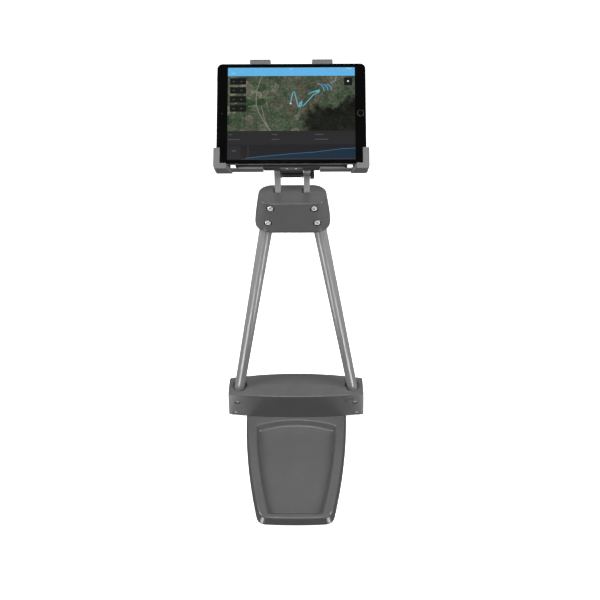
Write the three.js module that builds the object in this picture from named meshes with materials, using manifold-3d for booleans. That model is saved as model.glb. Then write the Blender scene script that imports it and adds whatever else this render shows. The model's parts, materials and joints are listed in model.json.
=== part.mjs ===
// Tablet computer on a free-standing floor stand: a foot plate and crossbar, two leaning steel
// tubes, a clamped head, two flat bars, and a tilting holder that grips the tablet at its edges.
// Millimetres, +Z up, +X to the right of a person facing the screen, who stands at -Y.
import * as THREE from 'three';
import Module from 'manifold-3d';
import { mergeVertices } from 'three/addons/utils/BufferGeometryUtils.js';

const wasm = await Module();
wasm.setup();

const { Vector2, Vector3, Matrix4 } = THREE;

// ---------------------------------------------------------------- driving dimensions

const GAP = 0.3; // clearance between neighbouring pieces
const PLAN_SHIFT = 88.09; // moves the tubes' plane back so that the whole stand is centred on Y = 0

const TRAY = {
  bottom: 3, top: 29, edge: 3, draft: 5,
  frontY: -305, rearY: 30, frontHalf: 86, rearHalf: 130, bulge: 11.8,
  frontBow: 3, rearBow: 0, frontRadius: 16, rearRadius: 10,
};
const RECESS = {
  depth: 16, slope: 7,
  frontY: -288.5, rearY: -40, frontHalf: 62, rearHalf: 100, bulge: 7,
  frontBow: 0, rearBow: 16, frontRadius: 6, rearRadius: 5,
};
const REAR_HOLLOW = { half: 110, front: -20, rear: 12, roof: 4 };
const BALLAST = { bottom: 3.6, thickness: 6, inset: 14, pocketTop: 10, padClearance: 4 };
const FOOT_PAD = { radius: 11, taper: 0.8, height: 6.5, frontX: 62, frontY: -286, rearX: 112, rearY: 12 };

const CROSSBAR = {
  bottom: TRAY.top + GAP, shoulder: 119.5, crestEnd: 122.5, crestMiddle: 127.5, edge: 3,
  halfAtBottom: 173, endTaper: 6,
  frontEnd: -24, frontMiddle: -32, rearEnd: 26.5, rearMiddle: 40.5,
  wall: 4, pocketHalf: 118, socketRadius: 17, socketFlare: 1.5, socketDepth: 6,
};

const TUBE = {
  radius: 12.5, bore: 11, bottom: 31.5, top: 696,
  halfSpacing: 55.85, spacingZ: 595, lean: 0.1775, innerCut: 33.6,
};

const HEAD = {
  bottom: 632, top: 701, wall: 3, front: -27, rear: 31,
  halfTop: 61.5, halfWide: 70, wideZ: 648, halfBottom: 64, cornerRadius: 24,
};
const CHANNEL = { halfWidth: 33, rear: 22, bottom: 636 };
const HEAD_HOLLOW = { half: 20, rear: 1 };

const HEAD_SCREWS = [{ level: 'upper', z: 689 }, { level: 'lower', z: 657 }];
const FOOT_SCREWS = [{ level: 'upper', z: 86 }, { level: 'lower', z: 39 }];
const SCREW = {
  headRadius: 5.4, headHeight: 5.5, headEdge: 0.8, sunk: 0.6, shankRadius: 3,
  socketRadius: 2.6, socketDepth: 3, recessRadius: 7.4, recessClearance: 1.2,
  nutRadius: 5.8, nutHeight: 5, nutSunk: 1.2, sides: 16,
};

const BAR = { inner: 20.6, width: 11, thickness: 12, front: 8, bottom: 652, top: 747 };
const SLOT_CLEARANCE = { left: 2.6, right: 0.8, front: 2.2, rear: 0.5 };
const BRIDGE_HEIGHT = 10;

const HINGE = {
  y: 14, z: 734.3, reach: 60, pinRadius: 3, boreRadius: 3.3,
  headHeight: 3.6, headRadius: 4.4, headSunk: 0.4, headBore: 4.7,
};
const SLEEVE = { radius: 5, half: 17.2 };
const EAR = { inner: 17.5, outer: 20.2, eyeRadius: 5.6, plateTop: -70 };
const LEVER = {
  inner: 32, outer: 39, hubRadius: 6, tipLength: 10, tipRise: 8, tipRadius: 3.2,
  heelBack: 2.6, heelUp: 3.6, heelRadius: 4.2,
};
const LEVER_INSERT = { radius: 4.2, depth: 4, proud: 0.6 };

// The holder's own frame lies on the glass: x to the right, y up the screen, z out of the screen.
const HOLDER = { y: 37.8, z: 840, lean: 38.1 };

const TABLET = { width: 250.6, height: 174.1, thickness: 6.1, corner: 9, wall: 1.5, glass: 0.65 };
const BACK_WALL = 0.8;
const DISPLAY = { half: 108.5, halfHeight: 81.5, back: -2.4 };
const BATTERY = { half: 72, halfHeight: 60, back: -5, front: -2.8 };
const LOGIC_BOARD = { left: -116, right: -78, bottom: -66, top: 62, back: -5, front: -3.4 };
const HOME = { x: 116.2, radius: 5.4, thickness: 1.6 };
const REAR_CAMERA = { x: -112, y: 74, radius: 4, back: -7.4, front: -5 };
const FRONT_CAMERA = { x: -116.2, radius: 1.5, back: -2.6 };
const GLASS_HOLE = { clearance: 0.2, sunk: 0.05, reach: 2 };
const EDGE_BUTTON = { length: 11, width: 1.8, depth: 2.1, proud: 0.5, depthBelowGlass: 3.3, clearance: 0.2 };
const EDGE_BUTTONS = [
  { name: 'power_button', edge: 'left', along: 64 },
  { name: 'volume_up_button', edge: 'top', along: -81.5 },
  { name: 'volume_down_button', edge: 'top', along: -94.5 },
];

const RAIL = {
  half: 94.5, middleHalf: 47.4, bottom: -89.3, sideBottom: -87.4, top: -66, front: -12, rear: -30,
};
const GROOVE = { neckHalf: 3, neckTop: -83, slotHalf: 6, slotTop: -78, middle: -21 };
const ARM = {
  inner: 48, bottom: -91.6, top: -87.8, raisedEnd: 89.5, thinTop: -89.2, thinFront: -14,
  ribInner: 52, ribOuter: 89, ribClearance: 0.4,
};
const CUP = {
  outer: 129.8, tabletEdge: 125.6, bottom: -95.7, floorTop: -87.35, top: -60, inner: 100.6,
  lipInner: 108.5, front: 3, lipBack: 0.35, rear: -25.5, backInner: 104, backThickness: 3.4, backDrop: 2,
  sideLipInner: 119.1, bottomLipTop: -86.35,
};
const PAD = { inner: 106, outer: 125.2, bottom: -86.9, top: -64, front: -6.45, rear: -21.8 };

const BRACKET = {
  half: 20.2, bottom: -92.2, underTop: -89.6, top: -40,
  front: -24.6, backFront: -30.3, rear: -34, earRoot: -32.3,
};
const COVER = { frontHalf: 18.8, rearHalf: 17.6, bottom: -91, top: -89.6, front: -12, rear: -24.3 };
const SPINE = { half: 22, bottom: -65.6, top: 52, front: -14, rear: -30, slotBottom: -60 };
const SLIDER = { half: 17, bottom: -30, top: 84, front: -18, rear: -25.5, clearance: 0.4 };
const CROSSHEAD = { half: 70, bottom: 74, top: 84, front: -12, rear: -25.5 };
const HOOK = {
  x: 52.5, half: 17.3, top: 94.6, bottom: 84.3, wallBottom: 87.4, front: 3.3, lipBack: 0.35, lipBottom: 85.2,
  backFront: -12, rear: -25.5, lipChamfer: 3,
};
const LOCK = { y: 20, radius: 13, taper: 1.5, front: -31.2, rear: -43, stud: 3, studEnd: -25.9, sides: 18 };

const ROUND = 20; // sides of an ordinary cylinder
const SIDES = [{ side: -1, sideName: 'left' }, { side: 1, sideName: 'right' }];

// ---------------------------------------------------------------- materials

function finish(colour, roughness, metalness) {
  return new THREE.MeshStandardMaterial({ color: colour, roughness, metalness });
}

const MATERIALS = {
  greyPlastic: finish(0x5c5c5b, 0.55, 0),
  blackPlastic: finish(0x2b2b2c, 0.5, 0),
  greySteel: finish(0x858583, 0.35, 0.9),
  barSteel: finish(0x77787a, 0.45, 0.7),
  zinc: finish(0xc9c9c6, 0.25, 1),
  ballastSteel: finish(0x4a4a4a, 0.6, 0.8),
  rubber: finish(0x1c1c1c, 0.85, 0),
  aluminium: finish(0x8d8e92, 0.4, 0.9),
  bezelGlass: finish(0x08080a, 0.08, 0),
  display: finish(0x35506b, 0.3, 0),
  battery: finish(0x222222, 0.5, 0),
  board: finish(0x24452e, 0.6, 0),
};

// ---------------------------------------------------------------- solids and booleans

function solidOf(geometry) {
  const bare = geometry.clone();
  bare.deleteAttribute('normal');
  bare.deleteAttribute('uv');
  const merged = mergeVertices(bare, 1e-4);
  return new wasm.Manifold(new wasm.Mesh({
    numProp: 3,
    vertProperties: new Float32Array(merged.attributes.position.array),
    triVerts: new Uint32Array(merged.index.array),
  }));
}

function geometryOf(solid) {
  const mesh = solid.getMesh();
  const geometry = new THREE.BufferGeometry();
  geometry.setAttribute('position', new THREE.BufferAttribute(new Float32Array(mesh.vertProperties), 3));
  geometry.setIndex(new THREE.BufferAttribute(new Uint32Array(mesh.triVerts), 1));
  geometry.computeVertexNormals();
  return geometry;
}

function placed(solid, matrix) {
  return solid.transform(matrix.elements);
}

function joined(solids) {
  return solids.reduce((sum, solid) => sum.add(solid));
}

function cut(solid, tools) {
  return tools.reduce((rest, tool) => rest.subtract(tool), solid);
}

function box([x0, y0, z0], [x1, y1, z1]) {
  const geometry = new THREE.BoxGeometry(x1 - x0, y1 - y0, z1 - z0);
  geometry.translate((x0 + x1) / 2, (y0 + y1) / 2, (z0 + z1) / 2);
  return solidOf(geometry);
}

// A cylinder or cone frustum between two points.
function rod(from, to, radius, endRadius = radius, sides = ROUND) {
  const start = new Vector3(...from);
  const axis = new Vector3(...to).sub(start);
  const geometry = new THREE.CylinderGeometry(endRadius, radius, axis.length(), sides);
  geometry.translate(0, axis.length() / 2, 0);
  const turn = new THREE.Quaternion().setFromUnitVectors(new Vector3(0, 1, 0), axis.clone().normalize());
  geometry.applyQuaternion(turn);
  geometry.translate(...start);
  return solidOf(geometry);
}

// A flat plate: an outline extruded along +Z.
function plate(points, bottom, thickness) {
  const shape = new THREE.Shape(points);
  const geometry = new THREE.ExtrudeGeometry(shape, { depth: thickness, bevelEnabled: false });
  geometry.translate(0, 0, bottom);
  return solidOf(geometry);
}

// Joins outlines of equal length, each an array of Vector3, into one closed skin.
function loft(rings) {
  const count = rings[0].length;
  const positions = rings.flat().flatMap((point) => [point.x, point.y, point.z]);
  const indices = [];
  for (let ring = 0; ring < rings.length - 1; ring += 1) {
    for (let i = 0; i < count; i += 1) {
      const a = ring * count + i;
      const b = ring * count + (i + 1) % count;
      indices.push(a, b, b + count, a, b + count, a + count);
    }
  }
  const outline = rings[0].map((point) => new Vector2(point.x, point.y));
  const last = (rings.length - 1) * count;
  for (const [a, b, c] of THREE.ShapeUtils.triangulateShape(outline, [])) {
    indices.push(a, c, b, last + a, last + b, last + c);
  }
  const geometry = new THREE.BufferGeometry();
  geometry.setAttribute('position', new THREE.Float32BufferAttribute(positions, 3));
  geometry.setIndex(indices);
  return solidOf(geometry);
}

// ---------------------------------------------------------------- outlines

// Follows open curves end to end and rounds the corners between them.
function roundedPath(curves, radii, steps = 6, cornerSteps = 5) {
  const points = [];
  curves.forEach((curve, index) => {
    const length = curve.getLength();
    const start = index > 0 ? radii[index - 1] / length : 0;
    const end = index < radii.length ? 1 - radii[index] / length : 1;
    for (let i = 0; i <= steps; i += 1) points.push(curve.getPoint(start + (end - start) * i / steps));
    if (index < radii.length) {
      const next = curves[index + 1];
      const corner = new THREE.QuadraticBezierCurve(
        curve.getPoint(end), curve.getPoint(1), next.getPoint(radii[index] / next.getLength()));
      for (let i = 1; i < cornerSteps; i += 1) points.push(corner.getPoint(i / cornerSteps));
    }
  });
  return points;
}

// Completes a half outline that starts and ends on the line x = 0.
function mirrored(half) {
  const other = half.slice(1, -1).reverse().map((point) => new Vector2(-point.x, point.y));
  return [...half, ...other];
}

// The tray's plan: tapered towards the front, with bulging sides.
function trayOutline(tray, inset) {
  const frontHalf = tray.frontHalf - inset;
  const rearHalf = tray.rearHalf - inset;
  const frontY = tray.frontY + inset;
  const rearY = tray.rearY - inset;
  const frontCorner = new Vector2(frontHalf, frontY + tray.frontBow);
  const rearCorner = new Vector2(rearHalf, rearY - tray.rearBow);
  const frontMiddle = new Vector2(0, frontY);
  const rearMiddle = new Vector2(0, rearY);
  const frontPull = new Vector2(frontHalf / 2, frontY);
  const rearPull = new Vector2(rearHalf / 2, rearY);
  const sidePull = new Vector2(
    (frontHalf + rearHalf) / 2 + 2 * tray.bulge, (frontCorner.y + rearCorner.y) / 2);
  const front = new THREE.QuadraticBezierCurve(frontMiddle, frontPull, frontCorner);
  const side = new THREE.QuadraticBezierCurve(frontCorner, sidePull, rearCorner);
  const rear = new THREE.QuadraticBezierCurve(rearCorner, rearPull, rearMiddle);
  return mirrored(roundedPath([front, side, rear], [tray.frontRadius, tray.rearRadius]));
}

function roundedRectangle(halfX, halfY, radius, steps = 5) {
  const points = [];
  for (let corner = 0; corner < 4; corner += 1) {
    const centreX = (corner === 0 || corner === 3 ? 1 : -1) * (halfX - radius);
    const centreY = (corner < 2 ? 1 : -1) * (halfY - radius);
    for (let i = 0; i <= steps; i += 1) {
      const angle = (corner + i / steps) * Math.PI / 2;
      points.push(new Vector2(centreX + radius * Math.cos(angle), centreY + radius * Math.sin(angle)));
    }
  }
  return points;
}

function atHeight(outline, z) {
  return outline.map((point) => new Vector3(point.x, point.y, z));
}

// ---------------------------------------------------------------- foot

function tubeAxisX(z) {
  return TUBE.halfSpacing + TUBE.lean * (TUBE.spacingZ - z);
}

function footPads() {
  return SIDES.flatMap(({ side, sideName }) => [
    { name: `foot_pad_front_${sideName}`, x: side * FOOT_PAD.frontX, y: FOOT_PAD.frontY },
    { name: `foot_pad_rear_${sideName}`, x: side * FOOT_PAD.rearX, y: FOOT_PAD.rearY },
  ]);
}

function footPlate() {
  const { bottom, top, edge, draft } = TRAY;
  const body = loft([
    atHeight(trayOutline(TRAY, edge / 2), bottom),
    atHeight(trayOutline(TRAY, 0), bottom + edge),
    atHeight(trayOutline(TRAY, draft), top - edge),
    atHeight(trayOutline(TRAY, draft + edge), top),
  ]);
  const over = 2; // how far a cut runs past the face that it opens
  const recess = loft([
    atHeight(trayOutline(RECESS, RECESS.slope), top - RECESS.depth),
    atHeight(trayOutline(RECESS, -RECESS.slope * over / RECESS.depth), top + over),
  ]);
  const pocket = loft([
    atHeight(trayOutline(TRAY, BALLAST.inset), bottom - over),
    atHeight(trayOutline(TRAY, BALLAST.inset), BALLAST.pocketTop),
  ]);
  const { half, front, rear, roof } = REAR_HOLLOW;
  const rearHollow = box([-half, front, BALLAST.pocketTop - 1], [half, rear, top - roof]);
  const padHoles = footPads().map(({ x, y }) =>
    rod([x, y, bottom - over], [x, y, FOOT_PAD.height + GAP], FOOT_PAD.radius + GAP));
  return cut(body, [recess, pocket, rearHollow, ...padHoles]);
}

// The steel plate under the tray, cut away around the four pads.
function ballastPlate() {
  const outline = trayOutline(TRAY, BALLAST.inset + GAP);
  const slab = plate(outline, BALLAST.bottom, BALLAST.thickness);
  const around = footPads().map(({ x, y }) =>
    rod([x, y, 0], [x, y, TRAY.top], FOOT_PAD.radius + BALLAST.padClearance));
  return cut(slab, around);
}

function footPad({ x, y }) {
  return rod([x, y, 0], [x, y, FOOT_PAD.height], FOOT_PAD.radius - FOOT_PAD.taper, FOOT_PAD.radius);
}

// Turns points (y, z, x) into (x, y, z): a shape drawn from the side then runs along X.
const ALONG_X = new Matrix4().set(0, 0, 1, 0, 1, 0, 0, 0, 0, 1, 0, 0, 0, 0, 0, 1);

// One upright section of the crossbar, at a share of its half length from the middle.
function crossbarSection(share) {
  const bow = 1 - share * share;
  const front = CROSSBAR.frontEnd + (CROSSBAR.frontMiddle - CROSSBAR.frontEnd) * bow;
  const rear = CROSSBAR.rearEnd + (CROSSBAR.rearMiddle - CROSSBAR.rearEnd) * bow;
  const crest = CROSSBAR.crestEnd + (CROSSBAR.crestMiddle - CROSSBAR.crestEnd) * bow;
  const { bottom, shoulder, edge } = CROSSBAR;
  const outline = [
    [front, bottom], [rear, bottom], [rear, shoulder - edge], [rear - edge, shoulder],
    [0, crest], [front + edge, shoulder], [front, shoulder - edge],
  ];
  return outline.map(([y, z]) => {
    const half = CROSSBAR.halfAtBottom - CROSSBAR.endTaper * (z - bottom) / (shoulder - bottom);
    return new Vector3(y, z, share * half);
  });
}

// Blind channels for the tubes, closed just past the tubes' ends.
function tubeChannels() {
  const low = TUBE.bottom - 2 * GAP;
  const high = TUBE.top + 2 * GAP;
  const radius = TUBE.radius + GAP;
  return SIDES.map(({ side }) =>
    rod([side * tubeAxisX(low), 0, low], [side * tubeAxisX(high), 0, high], radius));
}

// Clearance for each screw through a shell pair: head recess in front, shank, and nut pocket behind.
function screwCuts(rows, front, rear) {
  const { headHeight, recessClearance, recessRadius, shankRadius, nutHeight, nutSunk, nutRadius } = SCREW;
  const outside = 20;
  const pocketRadius = nutRadius + 2 * GAP;
  return rows.flatMap(({ z }) => SIDES.flatMap(({ side }) => {
    const x = side * tubeAxisX(z);
    return [
      rod([x, front - outside, z], [x, front + headHeight + recessClearance, z], recessRadius),
      rod([x, front, z], [x, rear, z], shankRadius + GAP),
      rod([x, rear - nutHeight - nutSunk - GAP, z], [x, rear + outside, z], pocketRadius, pocketRadius, 6),
    ];
  }));
}

function crossbarShells() {
  const steps = 10;
  const stations = Array.from({ length: steps + 1 }, (_, i) => Math.sin((i / steps - 0.5) * Math.PI));
  const body = placed(loft(stations.map(crossbarSection)), ALONG_X);
  const { bottom, wall, pocketHalf, frontEnd, rearEnd, shoulder } = CROSSBAR;
  const hollow = box(
    [-pocketHalf, frontEnd + wall, bottom + wall], [pocketHalf, rearEnd - wall, shoulder - wall]);
  const sockets = SIDES.map(({ side }) => {
    const { socketRadius, socketFlare, socketDepth } = CROSSBAR;
    const low = CROSSBAR.crestEnd - socketDepth;
    const high = CROSSBAR.crestMiddle + socketDepth;
    return rod(
      [side * tubeAxisX(low), 0, low], [side * tubeAxisX(high), 0, high],
      socketRadius, socketRadius + socketFlare);
  });
  const shell = cut(body, [
    hollow, ...sockets, ...tubeChannels(), ...screwCuts(FOOT_SCREWS, frontEnd, rearEnd),
  ]);
  return splitFrontRear(shell);
}

// Parts a shell along the tubes' plane.
function splitFrontRear(shell) {
  const reach = 400;
  const height = 1000;
  const frontHalf = box([-reach, -reach, 0], [reach, -GAP / 2, height]);
  const rearHalf = box([-reach, GAP / 2, 0], [reach, reach, height]);
  return { front: shell.intersect(frontHalf), rear: shell.intersect(rearHalf) };
}

// ---------------------------------------------------------------- tubes and fasteners

function screwBore(from, to) {
  return rod(from, to, SCREW.shankRadius + GAP, SCREW.shankRadius + GAP, SCREW.sides);
}

function tube(side) {
  const ring = new THREE.Shape();
  ring.absarc(0, 0, TUBE.radius, 0, 2 * Math.PI);
  const hole = new THREE.Path();
  hole.absarc(0, 0, TUBE.bore, 0, 2 * Math.PI, true);
  ring.holes.push(hole);
  const bottom = new Vector3(side * tubeAxisX(TUBE.bottom), 0, TUBE.bottom);
  const axis = new Vector3(side * tubeAxisX(TUBE.top), 0, TUBE.top).sub(bottom);
  const geometry = new THREE.ExtrudeGeometry(ring, {
    depth: axis.length(), bevelEnabled: false, curveSegments: ROUND / 2,
  });
  geometry.applyQuaternion(new THREE.Quaternion().setFromUnitVectors(new Vector3(0, 0, 1), axis.normalize()));
  geometry.translate(...bottom);
  const past = 20;
  const holes = [...HEAD_SCREWS, ...FOOT_SCREWS].map(({ z }) => {
    const x = side * tubeAxisX(z);
    return screwBore([x, -past, z], [x, past, z]);
  });
  const barClearance = box([-TUBE.innerCut, -past, HEAD.bottom], [TUBE.innerCut, past, HEAD.top + past]);
  return cut(solidOf(geometry), [...holes, barClearance]);
}

function screw(x, z, faceY, nutFaceY) {
  const { sunk, headEdge, headHeight, headRadius, shankRadius, socketDepth, socketRadius, sides } = SCREW;
  const headFront = faceY + sunk;
  const headBack = headFront + headHeight;
  const overlap = 0.5;
  const body = joined([
    rod([x, headFront, z], [x, headFront + headEdge, z], headRadius - headEdge, headRadius),
    rod([x, headFront + headEdge, z], [x, headBack, z], headRadius),
    rod([x, headBack - overlap, z], [x, nutFaceY - sunk, z], shankRadius, shankRadius, sides),
  ]);
  const socket = rod([x, headFront - 1, z], [x, headFront + socketDepth, z], socketRadius, socketRadius, 6);
  return body.subtract(socket);
}

function nut(x, z, rearY) {
  const front = rearY - SCREW.nutHeight - SCREW.nutSunk;
  const body = rod([x, front, z], [x, front + SCREW.nutHeight, z], SCREW.nutRadius, SCREW.nutRadius, 6);
  return body.subtract(screwBore([x, front - 1, z], [x, rearY + 1, z]));
}

// ---------------------------------------------------------------- head, bars and hinge

function headShells() {
  const { bottom, top, wall, front, rear, halfTop, halfWide, wideZ, halfBottom, cornerRadius } = HEAD;
  const halfDepth = (rear - front) / 2;
  const rings = [
    [bottom, halfBottom, halfDepth - 4],
    [bottom + 2.5, halfBottom + 3.6, halfDepth - 1.5],
    [bottom + 8, halfWide - 1, halfDepth],
    [wideZ, halfWide, halfDepth],
    [top - 2.2, halfTop + 0.6, halfDepth],
    [top, halfTop - 1.4, halfDepth - 1.8],
  ];
  const body = loft(rings.map(([z, halfX, halfY]) =>
    atHeight(roundedRectangle(halfX, halfY, cornerRadius), z))).translate([0, (front + rear) / 2, 0]);
  const channel = box([-CHANNEL.halfWidth, 0, CHANNEL.bottom], [CHANNEL.halfWidth, CHANNEL.rear, top - wall]);
  const hollow = box(
    [-HEAD_HOLLOW.half, front + wall + 1, CHANNEL.bottom], [HEAD_HOLLOW.half, HEAD_HOLLOW.rear, top - wall]);
  const slots = SIDES.map(({ side }) => {
    const [left, right] = barEdges(side);
    return box(
      [left - SLOT_CLEARANCE.left, BAR.front - SLOT_CLEARANCE.front, top - wall - 1],
      [right + SLOT_CLEARANCE.right, BAR.front + BAR.thickness + SLOT_CLEARANCE.rear, top + 1]);
  });
  return splitFrontRear(cut(body, [
    channel, hollow, ...slots, ...tubeChannels(), ...screwCuts(HEAD_SCREWS, front, rear),
  ]));
}

// Turns an outline drawn in (y, z) into a plate between two x positions.
function sidePlate(shape, fromX, toX) {
  const geometry = new THREE.ExtrudeGeometry(shape, {
    depth: toX - fromX, bevelEnabled: false, curveSegments: ROUND / 2,
  });
  geometry.applyMatrix4(ALONG_X);
  geometry.translate(fromX, 0, 0);
  return solidOf(geometry);
}

// The x positions of a bar's two faces, the lower first.
function barEdges(side) {
  return [side * BAR.inner, side * (BAR.inner + BAR.width)].sort((a, b) => a - b);
}

// A bar with a round top and a bore for the hinge bolt, whose head is sunk in the left bar.
function bar(side) {
  const { thickness, front, bottom, top } = BAR;
  const radius = thickness / 2;
  const shape = new THREE.Shape();
  shape.moveTo(front, bottom);
  shape.lineTo(front + thickness, bottom);
  shape.lineTo(front + thickness, top - radius);
  shape.absarc(front + radius, top - radius, radius, 0, Math.PI);
  shape.closePath();
  const bore = hingeRod(-HINGE.reach, HINGE.reach, HINGE.boreRadius);
  const headSeat = hingeRod(-HINGE.reach, boltHeadBack() + GAP, HINGE.headBore);
  return cut(sidePlate(shape, ...barEdges(side)), [bore, headSeat]);
}

function barBridge() {
  const half = BAR.inner - GAP;
  return box([-half, BAR.front, BAR.bottom], [half, BAR.front + BAR.thickness, BAR.bottom + BRIDGE_HEIGHT]);
}

function hingeRod(fromX, toX, radius, sides = ROUND) {
  return rod([fromX, HINGE.y, HINGE.z], [toX, HINGE.y, HINGE.z], radius, radius, sides);
}

// The inner face of the bolt's head, inside the left bar.
function boltHeadBack() {
  return -BAR.inner - BAR.width + HINGE.headSunk + HINGE.headHeight;
}

function hingeBolt() {
  const headBack = boltHeadBack();
  const headFront = headBack - HINGE.headHeight;
  const head = hingeRod(headFront, headBack, HINGE.headRadius);
  const shank = hingeRod(headBack - 1, LEVER.outer - LEVER_INSERT.depth - GAP, HINGE.pinRadius);
  const socket = hingeRod(headFront - 1, headBack - 1, SCREW.socketRadius, 6);
  return head.add(shank).subtract(socket);
}

function spacerSleeve() {
  return hingeRod(-SLEEVE.half, SLEEVE.half, SLEEVE.radius)
    .subtract(hingeRod(-SLEEVE.half - 1, SLEEVE.half + 1, HINGE.boreRadius));
}

function leverInsert() {
  const { depth, proud, radius } = LEVER_INSERT;
  return hingeRod(LEVER.outer - depth, LEVER.outer + proud, radius - GAP);
}

// A tapering lobe of the lever, from the hub to a round end given by its offset from the hinge.
function leverLobe(back, up, endRadius) {
  const away = Math.atan2(up, back);
  const shape = new THREE.Shape();
  shape.absarc(HINGE.y, HINGE.z, LEVER.hubRadius, away + Math.PI / 2, away + 3 * Math.PI / 2);
  shape.absarc(HINGE.y + back, HINGE.z + up, endRadius, away - Math.PI / 2, away + Math.PI / 2);
  shape.closePath();
  return sidePlate(shape, LEVER.inner, LEVER.outer);
}

// The clamp lever: a round hub on the bolt, a tapering tip towards the front and a short heel behind.
function clampLever() {
  const { inner, outer, tipLength, tipRadius, heelBack, heelUp, heelRadius } = LEVER;
  const rise = THREE.MathUtils.degToRad(LEVER.tipRise);
  const tip = leverLobe(-tipLength * Math.cos(rise), tipLength * Math.sin(rise), tipRadius);
  const heel = leverLobe(heelBack, heelUp, heelRadius);
  const bore = hingeRod(inner - 1, outer + 1, HINGE.boreRadius);
  const seat = hingeRod(outer - LEVER_INSERT.depth - GAP, outer + 1, LEVER_INSERT.radius);
  return cut(tip.add(heel), [bore, seat]);
}

// ---------------------------------------------------------------- holder, in its own frame

// Where the hinge lies in the holder's frame.
function hingeInHolder() {
  const lean = THREE.MathUtils.degToRad(HOLDER.lean);
  const back = HINGE.y - HOLDER.y;
  const up = HINGE.z - HOLDER.z;
  return new Vector2(
    back * Math.cos(lean) + up * Math.sin(lean), up * Math.cos(lean) - back * Math.sin(lean));
}

function hingeBracket() {
  const { half, bottom, underTop, top, front, backFront, rear, earRoot } = BRACKET;
  const hinge = hingeInHolder();
  const ear = new THREE.Shape();
  ear.moveTo(bottom, earRoot);
  ear.lineTo(hinge.x - EAR.eyeRadius, hinge.y);
  ear.absarc(hinge.x, hinge.y, EAR.eyeRadius, Math.PI, 2 * Math.PI);
  ear.lineTo(EAR.plateTop, earRoot);
  ear.closePath();
  const body = joined([
    box([-half, bottom, rear], [half, underTop, front]),
    box([-half, bottom, rear], [half, top, backFront]),
    sidePlate(ear, -EAR.outer, -EAR.inner),
    sidePlate(ear, EAR.inner, EAR.outer),
  ]);
  return body.subtract(rod([-half - 1, hinge.x, hinge.y], [half + 1, hinge.x, hinge.y], HINGE.boreRadius));
}

// A shelf drawn in (x, z) and extruded along y.
function shelf(points, bottom, top) {
  const shape = new THREE.Shape(points.map(([x, z]) => new Vector2(x, z)));
  const geometry = new THREE.ExtrudeGeometry(shape, { depth: top - bottom, bevelEnabled: false });
  geometry.rotateX(Math.PI / 2);
  geometry.translate(0, top, 0);
  return solidOf(geometry);
}

// The thin cover on the rail's underside, a little narrower at its rear edge.
function bracketCover() {
  const { frontHalf, rearHalf, bottom, top, front, rear } = COVER;
  return shelf([[-rearHalf, rear], [rearHalf, rear], [frontHalf, front], [-frontHalf, front]], bottom, top);
}

function lowerRail() {
  const { half, middleHalf, bottom, sideBottom, top, front, rear } = RAIL;
  const { neckHalf, neckTop, slotHalf, slotTop, middle } = GROOVE;
  const body = box([-half, sideBottom, rear], [half, top, front])
    .add(box([-middleHalf, bottom, rear], [middleHalf, top, front]));
  const grooves = SIDES.flatMap(({ side }) => {
    const ends = [side * (ARM.ribInner - 2), side * (half + 1)].sort((a, b) => a - b);
    return [
      box([ends[0], sideBottom - 1, middle - neckHalf], [ends[1], slotTop, middle + neckHalf]),
      box([ends[0], neckTop, middle - slotHalf], [ends[1], slotTop, middle + slotHalf]),
    ];
  });
  return cut(body, grooves);
}

// The right arm: a sliding foot with a T rib, and a cup round the tablet's lower corner.
function rightArm() {
  const { inner, bottom, top, raisedEnd, thinTop, thinFront, ribInner, ribOuter, ribClearance } = ARM;
  const { neckHalf, neckTop, slotHalf, slotTop, middle } = GROOVE;
  const neck = neckHalf - ribClearance;
  const rib = slotHalf - ribClearance;
  const ribTop = slotTop - ribClearance;
  const { outer, front, rear, lipBack } = CUP;
  const floor = [[CUP.inner, rear], [outer, rear], [outer, front], [CUP.lipInner, front]];
  return joined([
    box([inner, bottom, RAIL.rear], [raisedEnd, top, RAIL.front]),
    box([raisedEnd - 1, bottom, RAIL.rear], [CUP.backInner, thinTop, thinFront]),
    box([ribInner, top - 1, middle - neck], [ribOuter, ribTop, middle + neck]),
    box([ribInner, neckTop + ribClearance, middle - rib], [ribOuter, ribTop, middle + rib]),
    shelf(floor, CUP.bottom, CUP.floorTop),
    box([CUP.lipInner, CUP.bottom, lipBack], [outer, CUP.bottomLipTop, front]),
    box([CUP.tabletEdge, CUP.bottom, rear], [outer, CUP.top, front]),
    box([CUP.sideLipInner, CUP.bottom, lipBack], [outer, CUP.top, front]),
    box([CUP.backInner, CUP.bottom, rear], [outer, CUP.top - CUP.backDrop, rear + CUP.backThickness]),
  ]);
}

function rightPad() {
  return box([PAD.inner, PAD.bottom, PAD.rear], [PAD.outer, PAD.top, PAD.front]);
}

function flipped(solid) {
  return solid.mirror([1, 0, 0]);
}

function spine() {
  const body = box([-SPINE.half, SPINE.bottom, SPINE.rear], [SPINE.half, SPINE.top, SPINE.front]);
  const { half, front, rear, clearance } = SLIDER;
  const slot = box(
    [-half - clearance, SPINE.slotBottom, rear - clearance],
    [half + clearance, SPINE.top + 1, front + clearance]);
  return cut(body, [slot, rod([0, LOCK.y, SPINE.rear - 1], [0, LOCK.y, rear], HINGE.boreRadius)]);
}

function upperSlider() {
  return box([-SLIDER.half, SLIDER.bottom, SLIDER.rear], [SLIDER.half, SLIDER.top, SLIDER.front])
    .add(box(
      [-CROSSHEAD.half, CROSSHEAD.bottom, CROSSHEAD.rear], [CROSSHEAD.half, CROSSHEAD.top, CROSSHEAD.front]));
}

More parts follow.
